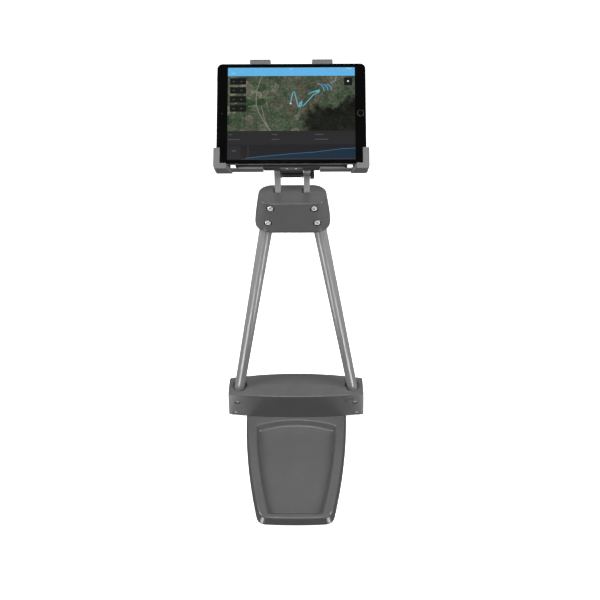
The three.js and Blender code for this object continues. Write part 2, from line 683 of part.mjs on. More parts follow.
// A hook over the tablet's upper edge, drawn in (y, z), with a bevelled front lip.
function hook(side) {
  const { x, half, top, bottom, wallBottom, front, lipBack, lipBottom } = HOOK;
  const { backFront, rear, lipChamfer } = HOOK;
  const points = [
    [bottom, rear], [top, rear], [top, front - lipChamfer], [top - lipChamfer, front],
    [lipBottom, front], [lipBottom, lipBack], [wallBottom, lipBack],
    [wallBottom, backFront], [bottom, backFront],
  ];
  const shape = new THREE.Shape(points.map(([y, z]) => new Vector2(y, z)));
  return sidePlate(shape, side * x - half, side * x + half);
}

function lockKnob() {
  const { y, radius, taper, front, rear, stud, studEnd, sides } = LOCK;
  return rod([0, y, rear], [0, y, front], radius - taper, radius, sides)
    .add(rod([0, y, front - 1], [0, y, studEnd], stud, stud, SCREW.sides));
}

// ---------------------------------------------------------------- tablet, in the holder's frame

function tabletPlate(inset, back, front) {
  const outline = roundedRectangle(
    TABLET.width / 2 - inset, TABLET.height / 2 - inset, TABLET.corner - inset, 6);
  return plate(outline, back, front - back);
}

// A push button through the tablet's left or top edge, grown by a clearance to cut its opening.
function edgeButton({ edge, along }, clearance = 0) {
  const { length, width, depth, proud, depthBelowGlass } = EDGE_BUTTON;
  const halfLength = length / 2 + clearance;
  const reach = proud + depth + 2 * clearance;
  const low = -depthBelowGlass - width / 2 - clearance;
  const high = -depthBelowGlass + width / 2 + clearance;
  if (edge === 'left') {
    const outer = -TABLET.width / 2 - proud - clearance;
    return box([outer, along - halfLength, low], [outer + reach, along + halfLength, high]);
  }
  const outer = TABLET.height / 2 + proud + clearance;
  return box([along - halfLength, outer - reach, low], [along + halfLength, outer, high]);
}

// A cylinder that stands on the glass's plane, at a place given as x and y.
function pin({ x, y = 0, radius }, back, front, grown = 0, sides = ROUND) {
  return rod([x, y, back], [x, y, front], radius + grown, radius + grown, sides);
}

function tabletHousing() {
  const { thickness, wall, glass } = TABLET;
  const rim = -glass - GAP;
  const pocket = tabletPlate(wall, BACK_WALL - thickness, rim + 1);
  const cameraHole = pin(REAR_CAMERA, REAR_CAMERA.back - 1, REAR_CAMERA.front + 1, GAP);
  return cut(tabletPlate(0, -thickness, rim), [
    pocket, cameraHole, ...EDGE_BUTTONS.map((button) => edgeButton(button, EDGE_BUTTON.clearance)),
  ]);
}

function frontGlass() {
  const { clearance, reach } = GLASS_HOLE;
  return cut(tabletPlate(clearance, -TABLET.glass, 0), [
    pin(HOME, -reach, reach, clearance, 32), pin(FRONT_CAMERA, -reach, reach, clearance, SCREW.sides),
  ]);
}

// A plain block inside the tablet, between its left, right, lower and upper edges.
function innerBlock(left, right, bottom, top, back, front) {
  return box([left, bottom, back], [right, top, front]);
}

// ---------------------------------------------------------------- assembly

const stand = new THREE.Group();
stand.position.y = PLAN_SHIFT;
const holder = new THREE.Group();
holder.position.set(0, HOLDER.y, HOLDER.z);
holder.rotation.x = THREE.MathUtils.degToRad(HOLDER.lean);
stand.add(holder);

function addPiece(group, name, solid, material) {
  const mesh = new THREE.Mesh(geometryOf(solid), material);
  mesh.name = name;
  group.add(mesh);
}

addPiece(stand, 'foot_plate', footPlate(), MATERIALS.greyPlastic);
addPiece(stand, 'ballast_plate', ballastPlate(), MATERIALS.ballastSteel);
for (const pad of footPads()) addPiece(stand, pad.name, footPad(pad), MATERIALS.rubber);

const crossbar = crossbarShells();
addPiece(stand, 'crossbar_front_shell', crossbar.front, MATERIALS.greyPlastic);
addPiece(stand, 'crossbar_rear_shell', crossbar.rear, MATERIALS.greyPlastic);
const head = headShells();
addPiece(stand, 'head_front_shell', head.front, MATERIALS.greyPlastic);
addPiece(stand, 'head_rear_shell', head.rear, MATERIALS.greyPlastic);

const SCREWED_PIECES = [
  { place: 'head', rows: HEAD_SCREWS, front: HEAD.front, rear: HEAD.rear },
  { place: 'foot', rows: FOOT_SCREWS, front: CROSSBAR.frontEnd, rear: CROSSBAR.rearEnd },
];
for (const { side, sideName } of SIDES) {
  addPiece(stand, `tube_${sideName}`, tube(side), MATERIALS.greySteel);
  for (const { place, rows, front, rear } of SCREWED_PIECES) {
    for (const { level, z } of rows) {
      const x = side * tubeAxisX(z);
      addPiece(stand, `${place}_screw_${level}_${sideName}`, screw(x, z, front, rear), MATERIALS.zinc);
      addPiece(stand, `${place}_nut_${level}_${sideName}`, nut(x, z, rear), MATERIALS.zinc);
    }
  }
  addPiece(stand, `bar_${sideName}`, bar(side), MATERIALS.barSteel);
  addPiece(holder, `arm_${sideName}`, side < 0 ? flipped(rightArm()) : rightArm(), MATERIALS.greyPlastic);
  addPiece(holder, `arm_pad_${sideName}`, side < 0 ? flipped(rightPad()) : rightPad(), MATERIALS.rubber);
  addPiece(holder, `hook_${sideName}`, hook(side), MATERIALS.greyPlastic);
}

addPiece(stand, 'bar_bridge', barBridge(), MATERIALS.barSteel);
addPiece(stand, 'hinge_bolt', hingeBolt(), MATERIALS.zinc);
addPiece(stand, 'spacer_sleeve', spacerSleeve(), MATERIALS.blackPlastic);
addPiece(stand, 'clamp_lever', clampLever(), MATERIALS.blackPlastic);
addPiece(stand, 'lever_insert', leverInsert(), MATERIALS.zinc);

addPiece(holder, 'hinge_bracket', hingeBracket(), MATERIALS.blackPlastic);
addPiece(holder, 'bracket_cover', bracketCover(), MATERIALS.greyPlastic);
addPiece(holder, 'lower_rail', lowerRail(), MATERIALS.blackPlastic);
addPiece(holder, 'holder_spine', spine(), MATERIALS.blackPlastic);
addPiece(holder, 'upper_slider', upperSlider(), MATERIALS.blackPlastic);
addPiece(holder, 'lock_knob', lockKnob(), MATERIALS.blackPlastic);

const display = innerBlock(
  -DISPLAY.half, DISPLAY.half, -DISPLAY.halfHeight, DISPLAY.halfHeight, DISPLAY.back, -TABLET.glass - GAP);
const battery = innerBlock(
  -BATTERY.half, BATTERY.half, -BATTERY.halfHeight, BATTERY.halfHeight, BATTERY.back, BATTERY.front);
const { left, right, bottom, top, back, front } = LOGIC_BOARD;
addPiece(holder, 'tablet_housing', tabletHousing(), MATERIALS.aluminium);
addPiece(holder, 'front_glass', frontGlass(), MATERIALS.bezelGlass);
addPiece(holder, 'display_panel', display, MATERIALS.display);
addPiece(holder, 'battery', battery, MATERIALS.battery);
addPiece(holder, 'logic_board', innerBlock(left, right, bottom, top, back, front), MATERIALS.board);
addPiece(holder, 'front_camera',
  pin(FRONT_CAMERA, FRONT_CAMERA.back, -GLASS_HOLE.sunk, 0, SCREW.sides), MATERIALS.bezelGlass);
addPiece(holder, 'rear_camera', pin(REAR_CAMERA, REAR_CAMERA.back, REAR_CAMERA.front), MATERIALS.bezelGlass);
addPiece(holder, 'home_button', pin(HOME, -HOME.thickness, -GLASS_HOLE.sunk, 0, 32), MATERIALS.bezelGlass);
for (const button of EDGE_BUTTONS) addPiece(holder, button.name, edgeButton(button), MATERIALS.aluminium);

export default stand;
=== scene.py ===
"""Looks of the tablet computer on its floor stand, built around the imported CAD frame.

The scene is in metres. Driving sizes are in millimetres, as in the part, and MM turns them into metres.
Pieces of the stand are drawn about the plane of its tubes. Pieces of the holder are drawn in the holder's
own frame, which lies on the tablet's glass: x to the right, y up the screen, z out of the screen.
"""
import json
import math

import bmesh
import bpy
from mathutils import Matrix, Vector


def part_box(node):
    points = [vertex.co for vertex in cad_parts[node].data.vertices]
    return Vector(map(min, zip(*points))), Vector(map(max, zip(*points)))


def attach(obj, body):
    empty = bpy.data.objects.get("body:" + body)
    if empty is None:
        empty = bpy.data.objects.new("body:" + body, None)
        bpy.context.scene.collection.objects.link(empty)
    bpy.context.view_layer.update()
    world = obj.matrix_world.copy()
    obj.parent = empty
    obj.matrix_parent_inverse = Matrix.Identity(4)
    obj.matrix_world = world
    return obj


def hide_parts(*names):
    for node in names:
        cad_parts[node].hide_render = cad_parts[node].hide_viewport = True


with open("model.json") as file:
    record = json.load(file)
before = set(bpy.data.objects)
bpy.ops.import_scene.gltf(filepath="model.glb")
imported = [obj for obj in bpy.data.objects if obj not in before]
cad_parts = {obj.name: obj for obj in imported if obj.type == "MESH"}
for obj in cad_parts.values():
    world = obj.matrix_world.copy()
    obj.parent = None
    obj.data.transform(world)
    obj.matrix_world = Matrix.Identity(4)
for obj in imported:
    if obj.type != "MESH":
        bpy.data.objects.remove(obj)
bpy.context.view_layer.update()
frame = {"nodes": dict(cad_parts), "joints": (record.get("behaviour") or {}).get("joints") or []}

MM = 0.001
JOINTS = {joint["name"]: joint for joint in frame["joints"]}

# ------------------------------------------------------------------ places taken from the frame


def middle(node):
    low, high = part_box(node)
    return (low + high) / 2


def axis_of(joint):
    return Vector(JOINTS[joint]["axis"]).normalized()


PLAN_Y = middle("tube_left").y
UP_SCREEN = axis_of("upper_clamp_slide")
OUT_OF_SCREEN = -axis_of("home_press")
GLASS_SHEET = 0.65
GLASS_THICKNESS = GLASS_SHEET * MM
GLASS_CENTRE = middle("front_glass") + OUT_OF_SCREEN * GLASS_THICKNESS / 2
HOLDER = Matrix.Translation(GLASS_CENTRE) @ Matrix((
    (1, 0, 0, 0),
    (0, UP_SCREEN.y, OUT_OF_SCREEN.y, 0),
    (0, UP_SCREEN.z, OUT_OF_SCREEN.z, 0),
    (0, 0, 0, 1),
))
STAND = Matrix.Translation((0, PLAN_Y, 0))

# ------------------------------------------------------------------ driving sizes, as in the part

TRAY = dict(front_y=-305, rear_y=30, front_half=86, rear_half=130, bulge=11.8,
            front_bow=3, rear_bow=0, front_radius=16, rear_radius=10)
RECESS = dict(front_y=-288.5, rear_y=-40, front_half=62, rear_half=100, bulge=7,
              front_bow=0, rear_bow=16, front_radius=6, rear_radius=5)
TRAY_BOTTOM, TRAY_TOP, TRAY_DRAFT = 3, 29, 5
RECESS_DEPTH, RECESS_SLOPE = 16, 7
BALLAST_INSET, BALLAST_POCKET_TOP = 14, 10
PAD_RADIUS, PAD_HOLE_TOP = 11, 6.8

GAP = 0.3
TUBE_RADIUS, TUBE_BORE, TUBE_BOTTOM, TUBE_TOP = 12.5, 11, 31.5, 696
TUBE_HALF_SPACING, TUBE_SPACING_Z, TUBE_LEAN = 55.85, 595, 0.1775
TUBE_INNER_CUT = 33.6

HEAD_FRONT, HEAD_REAR = -27, 31
HEAD_CENTRE, HEAD_HALF_DEPTH = (HEAD_REAR + HEAD_FRONT) / 2, (HEAD_REAR - HEAD_FRONT) / 2
HEAD_BOTTOM, HEAD_TOP = 632, 701
HEAD_HALF_BOTTOM, HEAD_HALF_WIDE, HEAD_HALF_TOP = 64.5, 70, 61.5
HEAD_WIDE_Z, HEAD_CORNER = 648, 24
SLOT_FRONT, SLOT_REAR, SLOT_BOTTOM = 5.8, 20.5, 660

CROSSBAR_BOTTOM, CROSSBAR_SHOULDER = 29.3, 119.5
CROSSBAR_HALF, CROSSBAR_TAPER = 173, 6
CROSSBAR_FRONT, CROSSBAR_FRONT_MIDDLE = -24, -32
CROSSBAR_REAR, CROSSBAR_REAR_MIDDLE = 26.5, 40.5
CREST_END, CREST_MIDDLE = 122.5, 127.5
SOCKET_BOTTOM, SOCKET_TOP, SOCKET_RADIUS, SOCKET_MOUTH = 116.5, 140, 17, 18.5

HEAD_SCREW_Z = (689, 657)
FOOT_SCREW_Z = (86, 39)
SCREW_HEAD, SCREW_HEAD_HEIGHT, SCREW_SHANK, SCREW_KEY = 5.4, 5.5, 3, 2.6
SCREW_RECESS, SCREW_RECESS_SPARE, SCREW_SUNK, SCREW_SHORT = 7.4, 1.2, 0.6, 0.5
NUT_POCKET, NUT_POCKET_DEPTH = 6.4, 6.5


def tube_x(z):
    return TUBE_HALF_SPACING + TUBE_LEAN * (TUBE_SPACING_Z - z)


# ------------------------------------------------------------------ shader nodes


class Nodes:
    """A material's node tree, with short names for the nodes used most."""

    def __init__(self, name):
        self.material = bpy.data.materials.new(name)
        self.material.use_nodes = True
        self.tree = self.material.node_tree
        self.shader = self.tree.nodes["Principled BSDF"]

    def link(self, source, target):
        self.tree.links.new(source, target)

    def node(self, kind, inputs=None, **settings):
        node = self.tree.nodes.new(kind)
        for key, value in settings.items():
            setattr(node, key, value)
        for key, value in (inputs or {}).items():
            self.put(value, node.inputs[key])
        return node

    def put(self, value, socket):
        if isinstance(value, bpy.types.NodeSocket):
            self.link(value, socket)
        else:
            socket.default_value = value

    def math(self, operation, a, b):
        return self.node("ShaderNodeMath", {0: a, 1: b}, operation=operation).outputs[0]

    def scaled(self, value, factor, offset):
        """Multiplies value by factor and adds offset."""
        return self.math("ADD", self.math("MULTIPLY", value, factor), offset)

    def centred(self, value, width):
        """Turns a value of 0..1 into one of width, centred on 0."""
        return self.math("MULTIPLY", self.math("SUBTRACT", value, 0.5), width)

    def noise(self, where, scale, detail=3.0, roughness=0.5, distortion=0.0):
        node = self.node("ShaderNodeTexNoise", {
            "Vector": where,
            "Scale": scale,
            "Detail": detail,
            "Roughness": roughness,
            "Distortion": distortion,
        })
        return node.outputs["Fac"]

    def ramp(self, value, stops):
        node = self.node("ShaderNodeValToRGB", {"Fac": value})
        elements = node.color_ramp.elements
        while len(elements) < len(stops):
            elements.new(0.5)
        for element, (position, colour) in zip(elements, stops):
            element.position = position
            element.color = colour
        return node.outputs["Color"]

    def mix(self, factor, a, b):
        node = self.node("ShaderNodeMix", data_type="RGBA")
        self.put(factor, node.inputs["Factor"])
        self.put(a, node.inputs["A"])
        self.put(b, node.inputs["B"])
        return node.outputs["Result"]

    def span(self, value, low, high):
        """Maps value from low..high to 0..1, clamped."""
        node = self.node("ShaderNodeMapRange", {"Value": value, "From Min": low, "From Max": high})
        return node.outputs["Result"]

    def bump(self, height, strength, distance, normal=None):
        inputs = {"Height": height, "Strength": strength, "Distance": distance}
        node = self.node("ShaderNodeBump", inputs)
        if normal is not None:
            self.link(normal, node.inputs["Normal"])
        return node.outputs["Normal"]

    def place(self):
        return self.node("ShaderNodeTexCoord").outputs["Object"]


def grey(level, tint=(0, 0, 0)):
    return (level + tint[0], level + tint[1], level + tint[2], 1)


def plastic(name, level, roughness):
    """Moulded plastic: fine spark texture, faint mottling and an uneven polish."""
    n = Nodes(name)
    where = n.place()
    mottling = n.noise(where, 38, 4, 0.6)
    smudges = n.noise(where, 9, 3, 0.5)
    base = n.mix(n.span(mottling, 0.3, 0.7), grey(level * 0.95), grey(level * 1.05))
    n.put(base, n.shader.inputs["Base Color"])
    n.put(n.math("ADD", n.centred(smudges, 0.16), roughness), n.shader.inputs["Roughness"])
    spark = n.noise(where, 2600, 2, 0.6)
    waves = n.noise(where, 240, 2, 0.5)
    fine = n.bump(spark, 0.2, 0.00006)
    n.put(n.bump(waves, 0.05, 0.0002, fine), n.shader.inputs["Normal"])
    return n.material


def mapped(n, where, scale):
    return n.node("ShaderNodeMapping", {"Vector": where, "Scale": scale}).outputs["Vector"]


def coated_steel(name, level, roughness, streak_axis, metallic=0.85):
    """Satin coated steel with faint drawing marks along its length."""
    n = Nodes(name)
    where = n.place()
    stretch = [1400, 1400, 1400]
    stretch[streak_axis] = 18
    streaks = n.noise(mapped(n, where, stretch), 1.0, 3, 0.5)
    flakes = n.noise(where, 1900, 2, 0.5)
    both = n.math("ADD", n.math("MULTIPLY", streaks, 0.5), n.math("MULTIPLY", flakes, 0.5))
    base = n.mix(n.span(both, 0.3, 0.7), grey(level * 0.88), grey(level * 1.12))
    n.put(base, n.shader.inputs["Base Color"])
    uneven = n.centred(n.noise(where, 22, 3), 0.12)
    n.put(n.math("ADD", uneven, roughness), n.shader.inputs["Roughness"])
    n.put(n.bump(flakes, 0.12, 0.00004), n.shader.inputs["Normal"])
    n.shader.inputs["Metallic"].default_value = metallic
    return n.material


def zinc():
    """Bright zinc plating with fine scratches and a cloudy bloom."""
    n = Nodes("zinc_plating")
    where = n.place()
    bloom = n.noise(where, 420, 4, 0.6)
    base = n.mix(n.span(bloom, 0.35, 0.7), grey(0.6), grey(0.78, (0, 0, -0.02)))
    n.put(base, n.shader.inputs["Base Color"])
    n.put(n.scaled(bloom, 0.2, 0.16), n.shader.inputs["Roughness"])
    scratches = n.noise(mapped(n, where, (900, 7000, 900)), 1.0, 2)
    n.put(n.bump(scratches, 0.1, 0.00003), n.shader.inputs["Normal"])
    n.shader.inputs["Metallic"].default_value = 0.45
    return n.material


def rubber():
    """Matte rubber with a dusty bloom."""
    n = Nodes("rubber")
    where = n.place()
    dust = n.noise(where, 160, 4, 0.65)
    n.put(n.mix(n.span(dust, 0.4, 0.75), grey(0.012), grey(0.03)), n.shader.inputs["Base Color"])
    n.shader.inputs["Roughness"].default_value = 0.82
    n.put(n.bump(n.noise(where, 1500, 2), 0.3, 0.0001), n.shader.inputs["Normal"])
    return n.material


def anodised():
    """Bead-blasted, anodised grey aluminium."""
    n = Nodes("anodised_aluminium")
    where = n.place()
    beads = n.noise(where, 5200, 2, 0.5)
    tone = n.noise(where, 30, 2, 0.5)
    cool = (0, 0, 0.005)
    n.put(n.mix(tone, grey(0.27, cool), grey(0.33, cool)), n.shader.inputs["Base Color"])
    n.put(n.scaled(tone, 0.08, 0.36), n.shader.inputs["Roughness"])
    n.put(n.bump(beads, 0.2, 0.00003), n.shader.inputs["Normal"])
    n.shader.inputs["Metallic"].default_value = 0.95
    return n.material


def black_glass(name, level, roughness=0.07):
    """Polished black glass with faint smears that only break the gloss."""
    n = Nodes(name)
    where = n.place()
    smears = n.noise(where, 26, 4, 0.6, 0.8)
    n.put(n.scaled(n.span(smears, 0.45, 0.8), 0.12, roughness), n.shader.inputs["Roughness"])
    n.put(n.mix(smears, grey(level), grey(level * 1.4)), n.shader.inputs["Base Color"])
    n.shader.inputs["Specular IOR Level"].default_value = 0.06
    return n.material


def foil():
    """A battery pouch of dark, slightly crinkled foil."""
    n = Nodes("battery_foil")
    where = n.place()
    crinkle = n.noise(where, 120, 4, 0.6, 0.4)
    n.put(n.mix(crinkle, grey(0.012), grey(0.03)), n.shader.inputs["Base Color"])
    n.put(n.scaled(crinkle, 0.2, 0.25), n.shader.inputs["Roughness"])
    n.put(n.bump(crinkle, 0.4, 0.0002), n.shader.inputs["Normal"])
    return n.material


def solder_mask():
    """Green board lacquer with paler tracks."""
    n = Nodes("solder_mask")
    where = n.place()
    bricks = n.node("ShaderNodeTexBrick", {"Vector": where, "Scale": 260.0})
    tracks = n.math("MULTIPLY", bricks.outputs["Fac"], 0.6)
    n.put(n.mix(tracks, (0.01, 0.05, 0.02, 1), (0.03, 0.1, 0.04, 1)), n.shader.inputs["Base Color"])
    n.put(n.scaled(n.noise(where, 90), 0.2, 0.3), n.shader.inputs["Roughness"])
    return n.material


def linear(level):
    """One display level of 0 to 255 as linear light."""
    share = level / 255
    return share / 12.92 if share <= 0.04045 else ((share + 0.055) / 1.055) ** 2.4


def shade(levels, factor=1.0):
    """A colour of three display levels as linear light."""
    return (*(linear(level) * factor for level in levels), 1)


def lit(n, colour):
    """Makes a surface glow with a colour, under a dark gloss."""
    n.put(colour, n.shader.inputs["Emission Color"])
    n.shader.inputs["Emission Strength"].default_value = 1
    n.shader.inputs["Base Color"].default_value = (0.001, 0.001, 0.001, 1)
    n.shader.inputs["Roughness"].default_value = 0.2
    n.shader.inputs["Specular IOR Level"].default_value = 0.03
    return n.material


def screen_paint(name, levels):
    """One lit colour of the screen, with a faint unevenness."""
    n = Nodes(name)
    uneven = n.noise(n.place(), 140, 3, 0.6)
    return lit(n, n.mix(uneven, shade(levels, 0.9), shade(levels, 1.1)))


def satellite_map():
    """Fields, woods and built-up ground, with a dark wooded hill at the lower right."""
    n = Nodes("screen_map")
    where = n.place()
    patches = n.noise(where, 34, 4, 0.55, 0.6)
    fine = n.noise(where, 260, 5, 0.7, 0.3)
    soil = n.noise(where, 19, 3, 0.5, 1.2)
    ground = n.ramp(patches, [
        (0.3, shade((50, 62, 50))),
        (0.47, shade((66, 78, 62))),
        (0.56, shade((78, 86, 70))),
        (0.7, shade((100, 98, 82))),
    ])
    ground = n.mix(n.span(soil, 0.52, 0.68), ground, shade((88, 80, 68)))
    fields = n.node("ShaderNodeTexVoronoi", {"Vector": where, "Scale": 75.0})
    tones = n.node("ShaderNodeSeparateColor", {"Color": fields.outputs["Color"]})
    plots = n.ramp(tones.outputs["Red"], [
        (0.1, shade((48, 66, 44))),
        (0.35, shade((78, 90, 70))),
        (0.6, shade((62, 72, 58))),
        (0.85, shade((112, 112, 98))),
    ])
    ground = n.mix(n.span(n.noise(where, 12, 2), 0.42, 0.55), ground, plots)
    wood = n.ramp(patches, [
        (0.35, shade((20, 22, 17))),
        (0.6, shade((33, 36, 29))),
        (0.72, shade((66, 66, 50))),
    ])
    split = n.node("ShaderNodeSeparateXYZ", {"Vector": where})
    ragged = n.centred(n.noise(where, 30, 4, 0.6), 0.07)
    east = n.span(n.math("ADD", split.outputs["X"], ragged), 0.012, 0.03)
    level = GLASS_CENTRE.z
    south = n.span(n.math("ADD", split.outputs["Z"], ragged), level + 0.016, level + 0.006)
    hill = n.math("MULTIPLY", east, south)
    scene = n.mix(hill, ground, wood)
    grain = n.ramp(fine, [(0.3, grey(0.5)), (0.5, grey(0.95)), (0.72, grey(1.9))])
    product = n.node("ShaderNodeMix", data_type="RGBA", blend_type="MULTIPLY")
    product.inputs["Factor"].default_value = 1
    n.link(scene, product.inputs["A"])
    n.link(grain, product.inputs["B"])
    return lit(n, product.outputs["Result"])


# ------------------------------------------------------------------ meshes


def new_object(name, bm, smooth=True):
    mesh = bpy.data.meshes.new(name)
    bmesh.ops.recalc_face_normals(bm, faces=bm.faces)
    bm.to_mesh(mesh)
    bm.free()
    if smooth:
        mesh.shade_smooth()
    obj = bpy.data.objects.new(name, mesh)
    bpy.context.scene.collection.objects.link(obj)
    return obj


def loft(name, rings):
    """A closed skin through rings with equal numbers of points, capped at both ends. Points in mm."""
    bm = bmesh.new()
    loops = [[bm.verts.new(Vector(point) * MM) for point in ring] for ring in rings]
    count = len(loops[0])
    for lower, upper in zip(loops, loops[1:]):
        for i in range(count):
            j = (i + 1) % count
            bm.faces.new((lower[i], lower[j], upper[j], upper[i]))
    bm.faces.new(reversed(loops[0]))
    bm.faces.new(loops[-1])
    return new_object(name, bm)


def dot(x, y, radius, sides=20):
    """The outline of a round dot."""
    angles = [2 * math.pi * i / sides for i in range(sides)]
    return [(x + radius * math.cos(a), y + radius * math.sin(a)) for a in angles]


def turned(name, profile, sides=48):
    """A body of revolution about z from (radius, z) points that start and end on the axis, in mm."""
    bm = bmesh.new()
    rings = []
    for radius, z in profile:
        if radius == 0:
            rings.append([bm.verts.new((0, 0, z * MM))])
            continue
        angles = [2 * math.pi * i / sides for i in range(sides)]
        reach, height = radius * MM, z * MM
        rings.append([bm.verts.new((reach * math.cos(a), reach * math.sin(a), height)) for a in angles])
    for lower, upper in zip(rings, rings[1:]):
        for i in range(sides):
            low = [lower[j % len(lower)] for j in (i, (i + 1) % sides)]
            high = [upper[j % len(upper)] for j in ((i + 1) % sides, i)]
            bm.faces.new(list(dict.fromkeys(low + high)))
    return new_object(name, bm)


def block(name, low, high):
    bm = bmesh.new()
    bmesh.ops.create_cube(bm, size=1)
    size = Vector(high) - Vector(low)
    centre = (Vector(high) + Vector(low)) / 2
    bm.transform(Matrix.Translation(centre * MM) @ Matrix.Diagonal((*(size * MM), 1)))
    return new_object(name, bm, smooth=False)


def prism(name, outline, low, high, axes="xyz"):
    """An outline of (a, b) points in mm, extruded from low to high along the third of the named axes."""
    order = ["xyz".index(axis) for axis in axes]

    def corner(a, b, c):
        point = Vector()
        for index, value in zip(order, (a, b, c)):
            point[index] = value
        return point

    return loft(name, [[corner(a, b, c) for a, b in outline] for c in (low, high)])


def rod(name, start, end, radius, end_radius=None, sides=48):
    """A cylinder or cone frustum between two points in mm."""
    start = Vector(start)
    axis = Vector(end) - start
    last = radius if end_radius is None else end_radius
    turn = axis.to_track_quat("Z", "Y").to_matrix().to_4x4()
    obj = turned(name, [(0, 0), (radius, 0), (last, axis.length), (0, axis.length)], sides)
    obj.data.transform(Matrix.Translation(start * MM) @ turn)
    return obj


def settle(obj):
    """Turns an object's modifiers into its mesh."""
    bpy.context.view_layer.update()
    evaluated = obj.evaluated_get(bpy.context.evaluated_depsgraph_get())
    mesh = bpy.data.meshes.new_from_object(evaluated)
    obj.modifiers.clear()
    obj.data = mesh


def triangulate(mesh):
    bm = bmesh.new()
    bm.from_mesh(mesh)
    bmesh.ops.triangulate(bm, faces=bm.faces)
    bm.to_mesh(mesh)
    bm.free()


def combine(obj, others, operation):
    """Cuts, joins or crosses an object with others, which it uses up."""
    for other in others:
        triangulate(obj.data)
        triangulate(other.data)
        modifier = obj.modifiers.new("boolean", "BOOLEAN")
        modifier.operation = operation
        modifier.solver = "MANIFOLD"
        modifier.object = other
        settle(obj)
        bpy.data.objects.remove(other)
    return obj


def cut(obj, tools):
    return combine(obj, tools, "DIFFERENCE")


def union(obj, others):
    return combine(obj, others, "UNION")


def soften(obj, width, segments=3, angle=35):
    """Rounds the sharp edges and keeps flat faces flat."""
    weld = obj.modifiers.new("weld", "WELD")
    weld.merge_threshold = 0.00001
    flat = obj.modifiers.new("flat", "DECIMATE")
    flat.decimate_type = "DISSOLVE"
    flat.angle_limit = math.radians(0.5)
    bevel = obj.modifiers.new("edges", "BEVEL")
    bevel.width = width * MM
    bevel.segments = segments
    bevel.limit_method = "ANGLE"
    bevel.angle_limit = math.radians(angle)
    normals = obj.modifiers.new("normals", "WEIGHTED_NORMAL")
    normals.keep_sharp = False
    return obj


def dress(obj, material, body, slot, *replaced, matrix=None):
    """Gives a new piece its place, material and body, and hides the CAD nodes that it stands for. The
    slot is not used.
    """
    if matrix is not None:
        obj.data.transform(matrix)
    obj.data.materials.clear()
    obj.data.materials.append(material)
    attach(obj, body)
    if replaced:
        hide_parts(*replaced)
    return obj


def repaint(node, material, edge=0.0, segments=2):
    """Keeps a CAD node, with a better material and, where edge is given, softened edges."""
    obj = frame["nodes"][node]
    obj.data.materials.clear()
    obj.data.materials.append(material)
    if edge:
        soften(obj, edge, segments)
    return obj


# ------------------------------------------------------------------ outlines, in mm


def bezier(a, pull, b, t):
    """The point at share t of a curve from a to b that leans towards pull."""
    return a * (1 - t) ** 2 + pull * 2 * t * (1 - t) + b * t ** 2


def curve_length(curve, steps=20):
    points = [bezier(*curve, i / steps) for i in range(steps + 1)]
    return sum((after - before).length for before, after in zip(points, points[1:]))


def rounded_path(curves, radii, steps=16, corner_steps=8):
    """Follows (start, pull, end) curves and rounds the corners between them."""
    points = []
    lengths = [curve_length(curve) for curve in curves]
    for index, curve in enumerate(curves):
        start = radii[index - 1] / lengths[index] if index else 0
        end = 1 - radii[index] / lengths[index] if index < len(radii) else 1
        points += [bezier(*curve, start + (end - start) * i / steps) for i in range(steps + 1)]
        if index < len(radii):
            leave = points[-1]
            enter = bezier(*curves[index + 1], radii[index] / lengths[index + 1])
            shares = [i / corner_steps for i in range(1, corner_steps)]
            points += [bezier(leave, curve[2], enter, share) for share in shares]
    return points


def mirrored(half):
    """Closes an outline that runs from one point on x = 0 to another, by its mirror image."""
    return half + [Vector((-p.x, p.y)) for p in reversed(half[1:-1])]


def tray_outline(shape, inset):
    """The plan of the tray or its recess: tapered to the front, with bulging sides."""
    front_half = shape["front_half"] - inset
    rear_half = shape["rear_half"] - inset
    front_y = shape["front_y"] + inset
    rear_y = shape["rear_y"] - inset
    front_corner = Vector((front_half, front_y + shape["front_bow"]))
    rear_corner = Vector((rear_half, rear_y - shape["rear_bow"]))
    pull = (front_corner + rear_corner) / 2 + Vector((2 * shape["bulge"], 0))
    front = (Vector((0, front_y)), Vector((front_half / 2, front_y)), front_corner)
    side = (front_corner, pull, rear_corner)
    rear = (rear_corner, Vector((rear_half / 2, rear_y)), Vector((0, rear_y)))
    radii = [shape["front_radius"], shape["rear_radius"]]
    return mirrored(rounded_path([front, side, rear], radii))


def rounded_rectangle(half_x, half_y, radius, steps=10, centre=(0, 0)):
    points = []
    for corner in range(4):
        x = centre[0] + (half_x - radius) * (1 if corner in (0, 3) else -1)
        y = centre[1] + (half_y - radius) * (1 if corner < 2 else -1)
        for i in range(steps + 1):
            angle = (corner + i / steps) * math.pi / 2
            points.append(Vector((x + radius * math.cos(angle), y + radius * math.sin(angle))))
    return points


def at_height(outline, z):
    return [Vector((p.x, p.y, z)) for p in outline]


def quarter(steps=5):
    """Shares (across, along) of a quarter round, from (0, 0) to (1, 1)."""
    angles = [math.pi / 2 * i / steps for i in range(steps + 1)]
    return [(1 - math.cos(a), math.sin(a)) for a in angles]


# ------------------------------------------------------------------ camera, floor and light

CAMERA_PLACE = Vector((0.021, PLAN_Y - 0.890, 1.350))
CAMERA_PITCH, CAMERA_PAN, CAMERA_ROLL = 46.0, 0.4, -0.12
CAMERA_LENS, CAMERA_SENSOR = 36.2, 36
SKY_BELOW, SKY_LOW, SKY_HORIZON, SKY_MIDDLE, SKY_ABOVE = 0.14, 0.098, 0.05, 0.18, 0.5
KEY_POWER, SIDE_POWER, FRONT_POWER, BACK_POWER, LOW_POWER = 28, 13, 10, 4, 5.5


